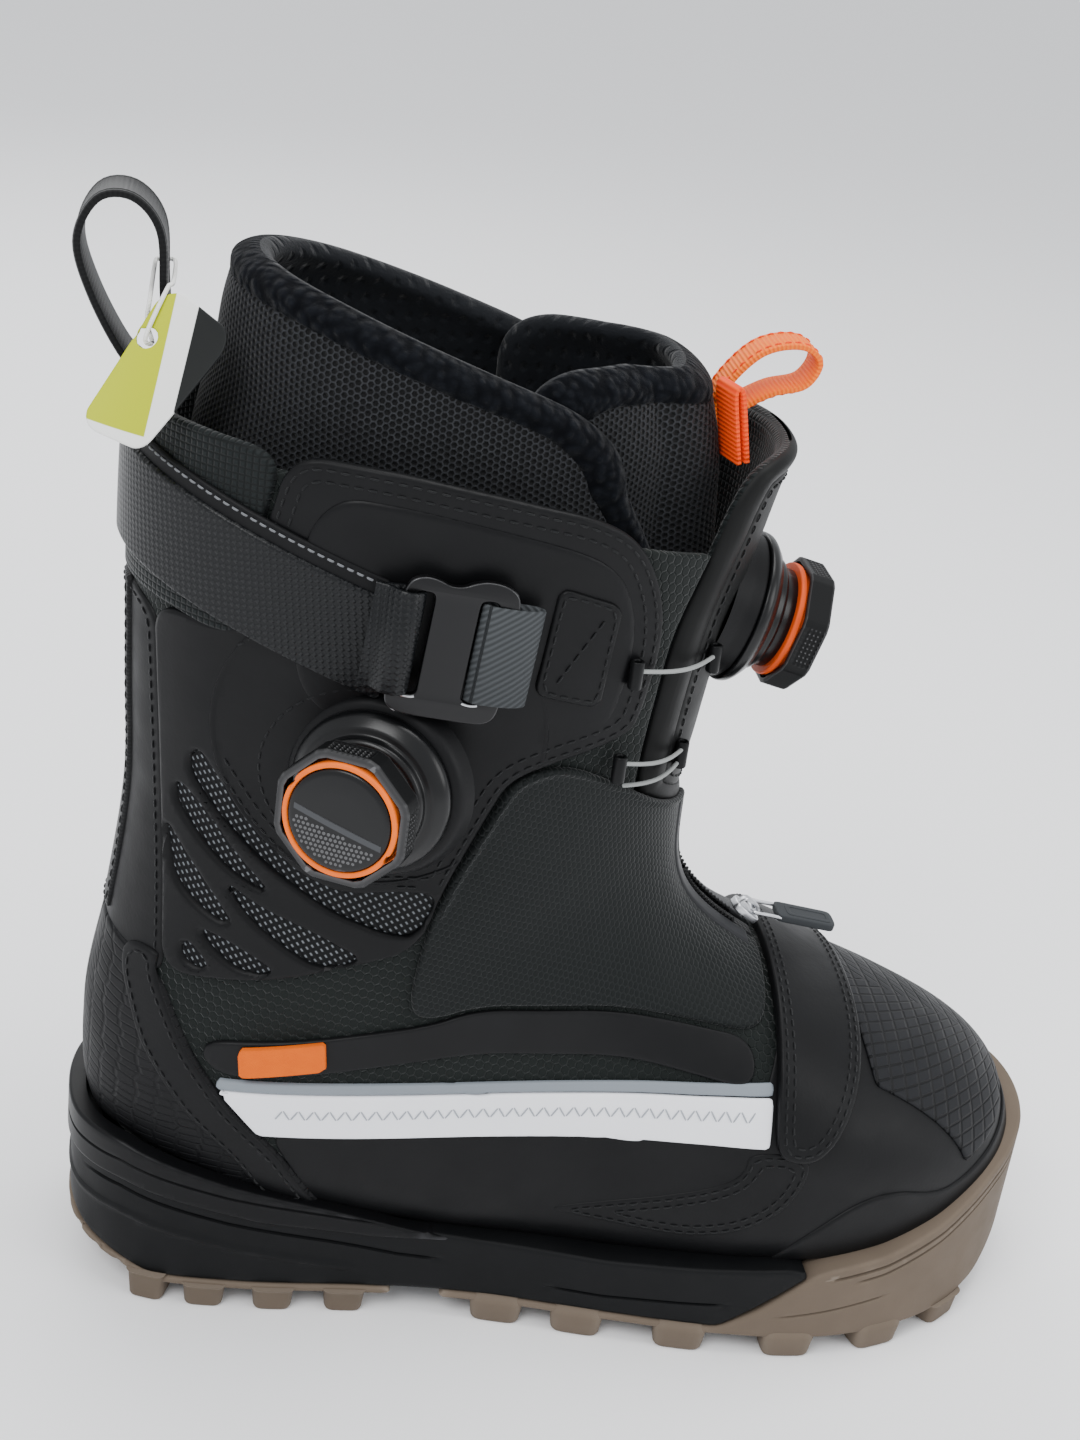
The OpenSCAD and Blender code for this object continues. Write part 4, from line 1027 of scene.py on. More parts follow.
def make_sole():
    low = [[233, 32.4], [217, 18.6], [206, SOLE_STEP + 0.6], [26, SOLE_STEP + 0.6], [6, 17], [-8, 26]]
    mid = [p for p in SOLE_TOP if p[0] < MID_FRONT] + low
    sole_piece("midsole", mid, "foam", "foam", ["midsole"], creases=[
        along_top(9.5, 0.7, -0.9, 4, 118), along_top(13.5, 0.6, -0.8, 150, 208),
        along_top(18.5, 1.4, 0.6, -20, 92)])
    foxing = [[x, lip_top(x) + 0.2] for x in (-8, 17, 51, 82, 104, 118)] + [
        [124, 32.4], [118, 30.6], [96, 30.4], [60, 34.4], [30, 41], [17, 44], [-8, 44]]
    sole_piece("heel_foxing", foxing, "foxing_rubber", "foxing_rubber", ["heel_foxing"], out=1.3,
               depth=-4.0, edge=1.0, creases=[along_top(-1.2, 0.6, -0.6, -20, 112)])
    toe = [[118, 7.2], [118, SOLE_STEP + 0.6], [206, SOLE_STEP + 0.6], [217.6, 17.6], [234, 32.6],
           [240, 34.6], [258, 37.6], [278, 44.6], [298, 54.6], [330, 63.6], [330, 34], [314, 22], [300, 10],
           [286, 7.2]]
    sole_piece("outsole", toe, "tread_rubber", "tread_rubber", ["outsole"], out=0.6, creases=[
        along_top(4.4, 0.7, -1.1, 238, 340), along_top(7.6, 0.6, -0.8, 247, 340),
        (lambda p, q: p[:, 2] - 17 - (p[:, 0] - 232) * 0.16, 0.5,
         lambda p: -0.6 * np.clip((20 - np.abs(p[:, 0] - 242)) / 5, 0, 1))])
    heel = [[8, 13], [30, 7.2], [102, 7.2], [104, SOLE_STEP + 0.6], [28, SOLE_STEP + 0.6], [4, 16.8],
            [-8, 26], [-8, 20]]
    sole_piece("heel_tread", heel, "tread_rubber", "tread_rubber", ["heel_tread"], edge=0.7, out=0.3)
    spring = lambda x: float(np.interp(x, [118, 286, 300, 314], [7.5, 7.5, 10, 22]))
    plate("outsole_underside", 119, 313, spring, "tread_rubber", "tread_rubber")
    plate("heel_underside", 12, 101, lambda x: float(np.interp(x, [8, 30], [13, 7.5])),
          "tread_rubber", "tread_rubber")
    plate("midsole_underside", 6, 212, lambda x: float(np.interp(x, [6, 26], [17, SOLE_STEP + 0.8])),
          "foam", "foam")


def make_lugs():
    """Lugs along the sole's edge, each an x, a side and a length, and rows of lugs between them."""
    places = [(x, -1, 17) for x in (136, 162, 194, 229, 261)] + [(287, -1, 15)]
    places += [(x, 1, 17) for x in (136, 164, 196, 228, 258, 284)]
    places += [(x, side, 13) for x in (44, 66, 88) for side in (-1, 1)] + [(26, -1, 12), (24, 1, 12)]
    rim, outward = plan_at(np.linspace(0, 1, 1200))
    outward = -outward * np.sign(PLAN_TURN)
    edge_lugs, middle = [], []
    for x, side, long in places:
        k = int(np.argmin(np.abs(rim[:, 0] - x) + 500 * (rim[:, 1] * side < 0)))
        at = rim[k] - outward[k] * 5.6
        turn = math.degrees(math.atan2(outward[k][1], outward[k][0])) - 90 * side
        high = 8.6 if x > 40 else 10.6
        edge_lugs.append(dict(at=at, size=(long, 14), turn=turn, top=high, domed=long > 15))
    for x in (146, 172, 198, 224, 250):
        middle += [dict(at=(x, -24), size=(13, 17), turn=12), dict(at=(x + 12, 1), size=(14, 15), turn=0),
                   dict(at=(x, 26), size=(13, 17), turn=-12)]
    for x in (34, 56, 78):
        middle += [dict(at=(x, -11), size=(12, 13), turn=10), dict(at=(x, 12), size=(12, 13), turn=-10)]
    middle += [dict(at=(276, -10), size=(12, 15), turn=10), dict(at=(276, 20), size=(12, 15), turn=-10)]
    blocks("edge_lugs", edge_lugs)
    blocks("tread_lugs", [dict(m, top=7.6) for m in middle])


# ---------------------------------------------------------------- webbing, tubes and turned pieces
ACROSS, UP = (0, 1, 0), (0, 0, 1)


def loop_spline(points, step, closed=True):
    """A smooth line through the points, with points an even distance apart."""
    p, n = np.asarray(points, float), len(points)
    made = []
    for i in range(n if closed else n - 1):
        ids = [(i + k) % n if closed else min(max(i + k, 0), n - 1) for k in (-1, 0, 1, 2)]
        made += [between(*p[ids], f) for f in np.linspace(0, 1, 12, endpoint=False)]
    made.append(p[0] if closed else p[-1])
    return resample(np.array(made), step)[0]


def sweep(path, across, section, closed=False):
    """Points and faces of a section (across, outward) carried along a path, and its pattern places.
    across is one direction, or one for each point."""
    path = np.asarray(path, float)
    across = unit(np.broadcast_to(np.asarray(across, float), path.shape))
    if closed:
        path, across = path[:-1], across[:-1]
    n, m = len(path), len(section)
    way = unit(np.roll(path, -1, 0) - np.roll(path, 1, 0))
    if not closed:
        way[0], way[-1] = unit(path[1] - path[0]), unit(path[-1] - path[-2])
    out = unit(np.cross(way, across))
    points, places = [], []
    along = np.concatenate([[0], np.cumsum(np.linalg.norm(np.diff(path, axis=0), axis=1))])
    for i in range(n):
        points += [path[i] + across[i] * a + out[i] * b for a, b in section]
        places += [(along[i], a, b) for a, b in section]
    faces = quads(n, m, True, closed).tolist()
    return points, faces if closed else faces + caps(n, m), places


def swept(name, path, across, section, body, material, slot, nodes=(), at=Matrix.Identity(4),
          closed=False, order=(0, 1, 2)):
    """A piece of one section carried along a path. order turns its pattern places round."""
    points, faces, places = sweep(path, across, section, closed)
    return thing(name, placed(points, at), faces, body, material, slot, nodes,
                 mm=np.array(places)[:, list(order)])


def flat_section(width, thick, bevel=0.4, ridges=()):
    """A flat strap's section with rounded corners, and a ridge along each listed place across it."""
    w, t = width / 2, thick / 2
    top = [(-w + bevel, t)] + [(r + d, t + h) for r in ridges for d, h in ((-0.7, 0), (0, 0.25), (0.7, 0))]
    top += [(w - bevel, t)]
    return top + [(w, t - bevel * 0.7), (w, -t + bevel * 0.7), (w - bevel, -t), (-w + bevel, -t),
                  (-w, -t + bevel * 0.7), (-w, t - bevel * 0.7)]


def round_section(radius, sides=12):
    return [(radius * math.cos(2 * math.pi * k / sides), radius * math.sin(2 * math.pi * k / sides))
            for k in range(sides)]


def frame_of(at, *turns):
    """A 4x4 placing: turns are (axis, degrees), the last one nearest the shape."""
    made = Matrix.Translation(Vector(at))
    for axis, angle in turns:
        made = made @ Matrix.Rotation(math.radians(angle), 4, axis)
    return made


def placed(points, frame_matrix):
    m = np.array(frame_matrix)
    return np.asarray(points, float) @ m[:3, :3].T + m[:3, 3]


def turned(name, profile, frame_matrix, body, material, slot, nodes=(), radius_of=None, columns=96,
           sharp=32):
    """A turned piece: profile of (radius, height) points, with a radius that may vary round it."""
    points, n = [], len(profile)
    for k in range(columns):
        a = 2 * math.pi * k / columns
        for r, z in profile:
            radius = radius_of(a, r, z) if radius_of else r
            points.append((radius * math.cos(a), radius * math.sin(a), z))
    faces = [(k * n + i, (k + 1) % columns * n + i, (k + 1) % columns * n + i + 1, k * n + i + 1)
             for k in range(columns) for i in range(n - 1)]
    local = np.array(points)
    return thing(name, placed(local, frame_matrix), faces, body, material, slot, nodes, mm=local,
                 sharp=sharp)


def rounded_profile(corners, bevel=0.5):
    """A profile with its corners cut back twice, so that edges catch the light."""
    return [tuple(p) for p in soften(corners, bevel, 2, closed=False)]


# ---------------------------------------------------------------- the dials
GRIP_RADIUS, KNURL_LOW, KNURL_HIGH, KNURL_STEP = 18.6, 13.6, 19.0, 1.35
CAP_TOP, CAP_FALL, DOT_STEP, DOTS_RADIUS = 21.8, 0.0035, 1.35, 12.6


def grip_radius(a, r, z):
    """Eight facets with soft corners: every other one is knurled."""
    facet = math.radians(45)
    off = (a + facet / 2) % facet - facet / 2
    flat = min(GRIP_RADIUS / math.cos(off), GRIP_RADIUS + 1)
    number = int(((a + facet / 2) % (2 * math.pi)) / facet)
    if number % 2 == 0 and abs(off) < math.radians(18) and KNURL_LOW < z < KNURL_HIGH:
        ridge = 0.5 + 0.5 * math.cos(off * 2 * math.pi / math.radians(4.5))
        rows = 0.5 + 0.5 * math.cos((z - KNURL_LOW) * 2 * math.pi / KNURL_STEP)
        flat += 0.15 - 0.55 * (1 - ridge * rows)
    return flat * r / GRIP_RADIUS


def make_dial(prefix, dial, still, knob, orange="dial_orange"):
    """A dial in its own frame, z out of the boot. The base rides on one body and the knob on another."""
    at = frame_of(dial[0], ("Z", dial[1]), ("Y", dial[2]))
    base = rounded_profile([(9, -2.5), (23, -2.5), (23, -0.6), (22.4, 0.6), (19.8, 3), (17.6, 3.3),
                            (17.4, 5.4), (16.6, 6.2), (15.2, 6.5), (15, 11.2), (10.6, 11.2),
                            (10.6, 2)], 0.45)
    turned(prefix + "_base", base, at, still, "dial_black", "dial_black", [prefix + "_base"])
    core = rounded_profile([(14.9, 10.1), (17.3, 10.1), (17.3, 12), (16.2, 12.2), (16.2, 20.6),
                            (15.9, 21.1), (14.8, 21.1), (14.6, 20.4)], 0.3)
    notch = lambda a, r, z: r - (1.1 if z > 20 and r > 15.5 else 0) * math.exp(
        -((math.degrees(a) % 180 - 62) / 3.5) ** 2)
    turned(prefix + "_core", core, at, knob, orange, "dial_orange", [prefix + "_core"], notch, 144)
    heights = [12.2, 12.4, 13.0] + [KNURL_LOW + 0.225 * k for k in range(25)] + [19.3]
    grip = [(17.2, 12.2), (18.0, 12.2)] + [(GRIP_RADIUS, z + 0.3) for z in heights if z + 0.3 < 19.6] + [
        (18.2, 20.0), (17.6, 20.2), (16.5, 20.2), (16.4, 19.6)]
    turned(prefix + "_grip", grip, at, knob, "dial_grip", "dial_grip", [prefix + "_grip"], grip_radius, 320)
    cap = rounded_profile([(14.5, 18.6), (14.5, 20.9), (13.2, 21.4), (8, 21.7), (0.01, 21.8)], 0.4)
    turned(prefix + "_cap", cap, at, knob, "dial_black", "dial_black", [prefix + "_cap"])
    dots, faces, sides = [], [], 6
    for i in range(-9, 10):
        for j in range(-9, 10):
            x, y = i * DOT_STEP, j * DOT_STEP + 0.67 * (i % 2)
            if x * x + y * y > DOTS_RADIUS ** 2 or x - 0.25 * y - 1.5 < 1.9:
                continue
            k = len(dots)
            lift = CAP_TOP - (x * x + y * y) * CAP_FALL
            for scale, rise in ((0.56, -0.2), (0.5, 0.16), (0.25, 0.3)):
                dots += [(x + scale * math.cos(t), y + scale * math.sin(t), lift + rise)
                         for t in np.arange(sides) * 2 * math.pi / sides]
            faces += (quads(3, sides, True) + k).tolist()
            faces.append(tuple(k + 2 * sides + s for s in range(sides)))
    thing(prefix + "_cap_dots", placed(dots, at), faces, knob, "dial_grip", "dial_grip",
          mm=np.array(dots), merge=0)
    bar = [(1.5 + 0.25 * y + w, y, CAP_TOP + 0.15 - y * y * CAP_FALL + h)
           for y in np.linspace(-DOTS_RADIUS, DOTS_RADIUS, 15)
           for w, h in ((-1.0, -0.3), (-0.8, 0.15), (0.8, 0.15), (1.0, -0.3))]
    thing(prefix + "_cap_bar", placed(bar, at), quads(15, 4), knob, "dial_bar", "dial_black",
          mm=np.array(bar), merge=0)


def make_dials():
    make_dial("side_dial", SIDE_DIAL, "boot", "side_knob")
    make_dial("front_dial", FRONT_DIAL, "tongue", "front_knob", "dial_orange_deep")
    at = frame_of(SIDE_DIAL[0], ("Z", SIDE_DIAL[1]), ("Y", SIDE_DIAL[2]))
    pod = rounded_profile([(27.2, -8.6), (25.8, -4.4), (24.6, -2.9), (22.6, -2.5), (10, -2.5)], 0.7)
    turned("side_dial_pod", pod, at, "boot", "coated", "coated", ["side_dial_pod"])
    angles = np.linspace(0, 2 * math.pi, 60)
    ring = np.array([(78 + 27.6 * math.cos(a), 195 + 27.6 * math.sin(a)) for a in angles])
    stitch_rows("side_dial_stitches", [on_side(ring, -1, 2.1)], "boot", "thread", "coated")
    at = frame_of(FRONT_DIAL[0], ("Y", FRONT_DIAL[2]))
    pod = rounded_profile([(24.5, -12), (22.6, -7), (22.2, -3), (21.6, -2.5), (10, -2.5)], 0.7)
    turned("front_dial_pod", pod, at, "tongue", "coated", "coated", ["front_dial_pod"])


# ---------------------------------------------------------------- strap and buckle
# The strap's slope in degrees, its middle's x and z at the back, its width, and the strip under it
STRAP_SLOPE, STRAP_REAR, STRAP_W, LIP_LOW, LIP_HIGH = 20, [2, 264], 30, 6, 35


def strap_line(x, across):
    """The height of the strap's line at x, at a distance above its lower edge."""
    drop = math.tan(math.radians(STRAP_SLOPE)) * np.maximum(0, x - STRAP_REAR[0])
    return STRAP_REAR[1] - STRAP_W / 2 + across - drop


def strap_field(first, last, side, low=0.0, high=STRAP_W):
    """A band along the strap's line between two places, on the outer (-1) or inner (1) side."""
    def field(p, q):
        v = np.minimum(p[:, 2] - strap_line(p[:, 0], low), strap_line(p[:, 0], high) - p[:, 2])
        v = np.minimum(v * math.cos(math.radians(STRAP_SLOPE)), np.minimum(p[:, 0] - first, last - p[:, 0]))
        on = q[:, 1] >= 180 if side < 0 else q[:, 1] <= 180
        return np.where(on, v, OUTSIDE)
    return field


def strap_profile(start, thick, edge, low=0.0, high=STRAP_W):
    """Rounded along the strap's long edges only, so that pieces laid end to end meet flush."""
    def profile(v, q, p):
        across = np.minimum(p[:, 2] - strap_line(p[:, 0], low), strap_line(p[:, 0], high) - p[:, 2])
        return start + thick * round_edge(np.maximum(across, 0.02), edge)
    return profile


def strap_piece(name, first, last, side, body, nodes=(), rest=None):
    """The strap's band and the strip under it. When rest is given, the pieces' placing is baked into their
    points; the places in rest are not used.
    """
    made = Patch(strap_field(first, last, side), strap_profile(3.3, 1.5, 1.0), [1.6], depth=3.2, edge=1.0)
    piece = made.make(name, body, "strap", "strap", nodes)
    lip = Patch(strap_field(first, last, side, LIP_LOW, LIP_HIGH),
                strap_profile(2.8, 0.9, 0.8, LIP_LOW, LIP_HIGH), [1.5], depth=2.6, edge=0.8)
    under = lip.make(name + "_lip", body, "coated", "strap")
    rows = lip.contour(1.5, lambda p: p[:, 2] > strap_line(p[:, 0], STRAP_W))
    thread = stitch_rows(name + "_stitches", rows, body, "silver_thread", "strap", length=2.0, gap=0.8,
                         radius=0.3)
    for made in (piece, under, thread) if rest else ():
        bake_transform(made)


def make_strap():
    strap_piece("strap_inner", -30, 97, 1, "boot", ["strap_back"])
    strap_piece("strap_front", -30, 80.5, -1, None, ["strap_front"], ((20, -14, 252), (36, -44, 250)))
    at = frame_of((97, -60, 240), ("X", 90), ("Z", -6), ("X", -3))
    path = np.array([(-22.5, 0, -0.6), (-19, 0, 0.6), (-16.6, 0, 3.2), (-13.8, 0, 4.4), (-11.0, 0, 3.2),
                     (-10.2, 0, 1.2), (-11.2, 0, -1.0), (-13.8, 0, -2.0), (-17, 0, -1.4), (-20, 0, -0.9)])
    path = loop_spline(path, 0.8, closed=False)
    swept("strap_end_loop", path, ACROSS, flat_section(28.6, 1.7, 0.5), "strap", "strap", "strap", at=at)
    make_buckle(at)
    path = [(8.6, 0, 3.1), (12, 0, 3.3), (18, 0, 2.6), (22.6, 0, 0.6), (23.6, 0, -1.6), (20, 0, -3.0),
            (12, 0, -2.3), (8.2, 0, -1.2), (6.4, 0, 1.0)]
    path = loop_spline(np.array(path) * (0.94, 1, 0.92), 0.8)
    swept("buckle_webbing", path, ACROSS, flat_section(27.6, 1.1, 0.4), "boot", "grey_webbing",
          "grey_webbing", ["buckle_webbing"], at, True)
    patch = [[121, 224], [140, 219], [142, 251], [124, 257]]
    panel("buckle_anchor", patch, ["buckle_anchor"], "lateral", "cuff_skin", "strap", [1.6], start=2.9,
          thick=1.0, soft=2, edge=0.8, depth=2.6)
    lines = [on_side([(126.5, 228), (137.5, 248)], -1, 4.0)]
    stitch_rows("anchor_cross_stitches", lines, "boot", "thread", "strap")


def filled(outlines, depth, bevel):
    """A flat plate of closed outlines, the first the edge and the rest holes, with rounded edges."""
    curve = bpy.data.curves.new("outline", "CURVE")
    curve.dimensions, curve.fill_mode = "2D", "BOTH"
    curve.extrude, curve.bevel_depth, curve.bevel_resolution = depth / 2 - bevel, bevel, 3
    curve.offset = -bevel
    for outline in outlines:
        line = curve.splines.new("POLY")
        line.points.add(len(outline) - 1)
        for point, (x, y) in zip(line.points, outline):
            point.co = (x, y, 0, 1)
        line.use_cyclic_u = True
    made = bpy.data.objects.new("outline", curve)
    bpy.context.scene.collection.objects.link(made)
    bpy.context.view_layer.update()
    mesh = bpy.data.meshes.new_from_object(made.evaluated_get(bpy.context.evaluated_depsgraph_get()))
    points = np.array([v.co for v in mesh.vertices])
    faces = [tuple(f.vertices) for f in mesh.polygons]
    bpy.data.objects.remove(made)
    return points, faces


def sheet(name, outlines, depth, bevel, at, body, material, slot, nodes=(), lift=0.0, sharp=38):
    """A piece cut from flat stock, lifted and then placed."""
    points, faces = filled(outlines, depth, bevel)
    points = points + (0, 0, lift)
    return thing(name, placed(points, at), faces, body, material, slot, nodes, mm=points, sharp=sharp)


def make_buckle(at):
    edge = [(-15.5, -16), (-13.5, -19), (-10, -20), (10, -20), (13.5, -19), (15.5, -16), (15.5, 13),
            (14.6, 17.5), (11, 19.6), (6, 20), (2.5, 19), (-0.5, 17.4), (-3.5, 17), (-6.5, 18.2),
            (-10, 18.8), (-13.6, 17.8), (-15.2, 15), (-15.5, 12)]
    slots = (-9.6, 7.4)
    holes = [[(x - 2.5, -14.2), (x + 2.5, -14.2), (x + 2.5, 13.4), (x + 1.6, 14.6), (x - 1.6, 14.6),
              (x - 2.5, 13.4)] for x in slots]
    sheet("strap_buckle", [soften(edge, 3, 3)] + [soften(h, 1.0, 2) for h in holes], 2.6, 0.55, at,
          "buckle", "buckle_metal", "buckle_metal", ["strap_buckle"], 1.3, sharp=45)
    lips = [[(x + 2.1 * k, -14.3 - 0.35 * (1 - k * k), 2.75) for k in np.linspace(-1, 1, 9)] for x in slots]
    points, faces, _ = joined(sweep(path, UP, round_section(0.35, 8)) for path in lips)
    thing("buckle_worn_edges", placed(points, at), faces, "buckle", "zip_metal", "buckle_metal",
          mm=np.array(points), merge=0)


# ---------------------------------------------------------------- tongue, laces and zip
def skins(name, field, start, thick, body, materials, slot, nodes=(), edge=4.0, surface=None, puff=0.0,
          rim=0.0, stitches=(), lump=None, shift=None, roll=0.9):
    """A padded piece: an outer and an inner skin that meet in a rounded edge. start is the inner
    skin's height and thick the piece's; with a rim, the outer skin gives way to a rolled binding."""
    half, middle = thick / 2, start + thick / 2
    deep = middle if shift is None else lambda p: middle + shift(p)
    steps = [edge * f for f in (0.03, 0.12, 0.27, 0.7)]

    def profile(sign, low=None):
        def heights(v, q, p):
            whole = field(p, q)
            h = half * round_edge(np.maximum(whole, 0), edge)
            if puff:
                h = h + puff * np.clip(whole / 18, 0, 1) ** 0.5 * (1 if sign > 0 else 0.4)
            if lump is not None:
                h = h + lump(p) * np.clip(whole / 10, 0, 1)
            if rim:
                h = h + roll * np.exp(-((whole - rim * 0.5) / (rim * 0.45)) ** 2)
            if low is not None:
                h = h - 1.1 * (1 - round_edge(v, 1.6))
            return middle + sign * h + (0 if shift is None else shift(p))
        return heights

    outside = Patch((lambda p, q: field(p, q) - rim) if rim else field, profile(1, rim or None),
                    steps + list(stitches), depth=deep, edge=edge, surface=surface)
    made = [outside.make(name, body, materials[0], slot, nodes)]
    if rim:
        band = Patch(lambda p, q: np.minimum(field(p, q), rim + 0.4 - field(p, q)),
                     lambda v, q, p: np.where(field(p, q) < rim / 2, profile(1)(v, q, p),
                                              profile(1)(v, q, p) - 0.8 * (1 - round_edge(v, 1.2))),
                     steps[:3] + [rim * 0.3], depth=deep, edge=min(edge, rim / 2), surface=surface)
        made.append(band.make(name + "_rim", body, materials[1], slot))
    inner = Patch(field, profile(-1), steps, depth=deep, edge=edge, surface=surface)
    made.append(inner.make(name + "_inside", body, materials[-1], slot))
    if stitches:
        lines = [line for level in stitches for line in outside.contour(level, rise=0.1)]
        stitch_rows(name + "_stitches", lines, body, "thread", slot)
    return made


def front_outline(half_line, soft=6.0, behind=100):
    """A field inside an outline seen from the front, given as its inner half, ahead of an x."""
    smooth = soften(half_line + [[-y, z] for y, z in half_line[::-1]], soft)
    return lambda p: np.where(p[:, 0] > behind, inside(p[:, 1], p[:, 2], smooth), OUTSIDE)


def make_tongue():
    front = front_outline(TONGUE_EDGE[:-1] + [[38, 280], [33, 288]], 5)
    side = soften([[130, 203], [154, 191], [172, 176], [183, 168], [230, 163], [230, 300], [130, 300]], 2)
    field = lambda p, q: np.minimum(front(p), inside(p[:, 0], p[:, 2], side))
    skins("tongue_shell", field, -4.5, 4.3, "tongue", ["tongue_skin", "tongue_skin", "gusset_fabric"],
          "tongue_shell", ["tongue_shell", "tongue_padding"], edge=2.6, rim=6.0, stitches=[2.6])
    for side, name in ((-1, "lateral"), (1, "medial")):
        on_tongue = lambda z, rise: cast([(300, side * 25.6, z)], (-1, 0, 0), rise)[0][0]
        on_cuff = lambda x, z, rise: cast([(x, side * 200, z)], (0, -side, 0), rise)[0][0]
        sag = np.array([1.6, side * 2.2, -0.8])
        lines = [[start + (end - start) * f + sag * math.sin(math.pi * f) for f in np.linspace(0, 1, 16)]
                 for start, end in ((on_tongue(228, 1.9), on_cuff(150, 231, 4.2)),
                                    (on_tongue(198, 1.9), on_cuff(149, 201, 4.2)),
                                    (on_tongue(194, 1.9), on_cuff(152, 191, 1.4)))]
        points, faces, places = joined(sweep(line, UP, round_section(0.65, 10)) for line in lines)
        made = thing("laces_" + name, points, faces, None, "lace", "lace",
                     ["lace_cables"] if side < 0 else [], mm=np.array(places))
        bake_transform(made)
        sleeve = rounded_profile([(1.0, -4.2), (2.0, -4.2), (2.0, 4.2), (1.0, 4.2), (1.0, -4.2)], 0.4)
        for z in (196, 227):
            turned(f"tongue_guide_{name}_{z}", sleeve, frame_of(on_tongue(z, 1.7)), "tongue",
                   "guide", "guide", ["tongue_lace_guides"] if side < 0 else [], columns=32)
            turned(f"cuff_guide_{name}_{z}", sleeve, frame_of(on_cuff(148.5, z + 3, 3.9)), "boot",
                   "guide", "guide", ["cuff_lace_guides"] if side < 0 else [], columns=32)


def make_zip():
    at = frame_of((207, 0.5, 126.8), ("Y", 38))
    body = soften([(-5, -3), (-5, 3), (-2, 4), (3, 3.6), (5, 2.4), (5, -2.4), (3, -3.6), (-2, -4)], 0.8, 2)
    sheet("zip_slider", [body], 2.6, 0.5, at, "zip_runner", "zip_metal", "zip_metal", ["zip_slider"], 1.3,
          sharp=45)
    path = loop_spline([(-3.6, 0, 2.2), (-3.2, 0, 4.4), (-1.6, 0, 5.0), (1.4, 0, 5.0), (3.0, 0, 4.4),
                        (3.4, 0, 2.2)], 0.4, closed=False)
    swept("zip_slider_bridge", path, ACROSS, flat_section(2.8, 1.0, 0.3), "zip_runner", "zip_metal",
          "zip_metal", at=at)
    at = at @ frame_of((0.5, 0, 3.7), ("Y", -28))
    ring = loop_spline([(0, -3.2, 0), (0, 0, 0), (0, 3.2, 0), (1.2, 4.0, 0), (5, 3.9, 0), (9.4, 3.9, 0),
                        (10.2, 3.2, 0), (10.2, 0, 0), (10.2, -3.2, 0), (9.4, -3.9, 0), (5, -3.9, 0),
                        (1.2, -4.0, 0)], 0.5)
    swept("zip_link", ring, UP, round_section(0.62, 10), "zip_pull", "zip_metal", "zip_metal", at=at,
          closed=True)
    edge = soften([(8.8, -4.6), (27, -4.6), (28.2, -3), (28.2, 3), (27, 4.6), (8.8, 4.6), (8.2, 3),
                   (8.2, -3)], 1.2, 2)
    sheet("zip_puller", [edge], 2.5, 0.5, at, "zip_pull", "puller_rubber", "puller_rubber", ["zip_puller"],
          sharp=45)
    inner = soften([(11.5, -3.2), (26, -3.2), (26.8, -2), (26.8, 2), (26, 3.2), (11.5, 3.2)], 0.9, 2)
    hole = soften([(13, -1.9), (25, -1.9), (25.4, -1), (25.4, 1), (25, 1.9), (13, 1.9)], 0.6, 2)
    for k, lift in enumerate((1.15, -1.15)):
        sheet(f"zip_puller_frame_{k}", [inner, hole], 0.6, 0.2, at, "zip_pull", "puller_rubber",
              "puller_rubber", lift=lift)


# ---------------------------------------------------------------- liner
# The liner follows the boot's ribs, lies inside them, and goes on up in rows of its own
INNER_RIBS, LINER_GAP = 15, 6.6
LINER_ROWS = np.array([list(r) for r in RIBS[:INNER_RIBS]] + [c + [c[4], 0, 2.2, 2.4] for c in COLLAR + [
    [45, 345, 160, 318, 37]]], float)


def liner_shape(t, angle, grow):
    t, angle, grow = np.broadcast_arrays(*(np.asarray(v, float) for v in (t, angle, grow)))
    return shape(t, angle, grow - LINER_GAP * np.clip(INNER_RIBS - t, 0, 1), LINER_ROWS)


LINER_TOP = [[20, 332], [60, 321], [92, 311], [120, 302], [150, 290], [190, 284]]


def soft_min(a, b, blend):
    """The lesser of two fields, with a rounded corner where they meet."""
    h = np.clip(0.5 + 0.5 * (b - a) / blend, 0, 1)
    return b + (a - b) * h - blend * h * (1 - h)


def waves_of(p, amount):
    """Gentle folds, as padding settles into."""
    x, y, z = p.T
    a = np.sin(x * 0.075 + z * 0.11 + 1.3) * np.sin(z * 0.062 - y * 0.07 + 0.4)
    b = np.sin(x * 0.17 - y * 0.13 + 2.1) * np.sin(z * 0.19 + y * 0.05)
    return amount * (a + 0.45 * b)


def liner_opening(p, q, low, high, top):
    """Distance into the front of the liner, up to an angle that widens upwards."""
    limit = low + (high - low) * np.clip((p[:, 2] - 225) / (top - 225), 0, 1)
    front = (limit - np.minimum(q[:, 1], 360 - q[:, 1])) * 0.8
    return np.minimum(front, p[:, 2] - 178)


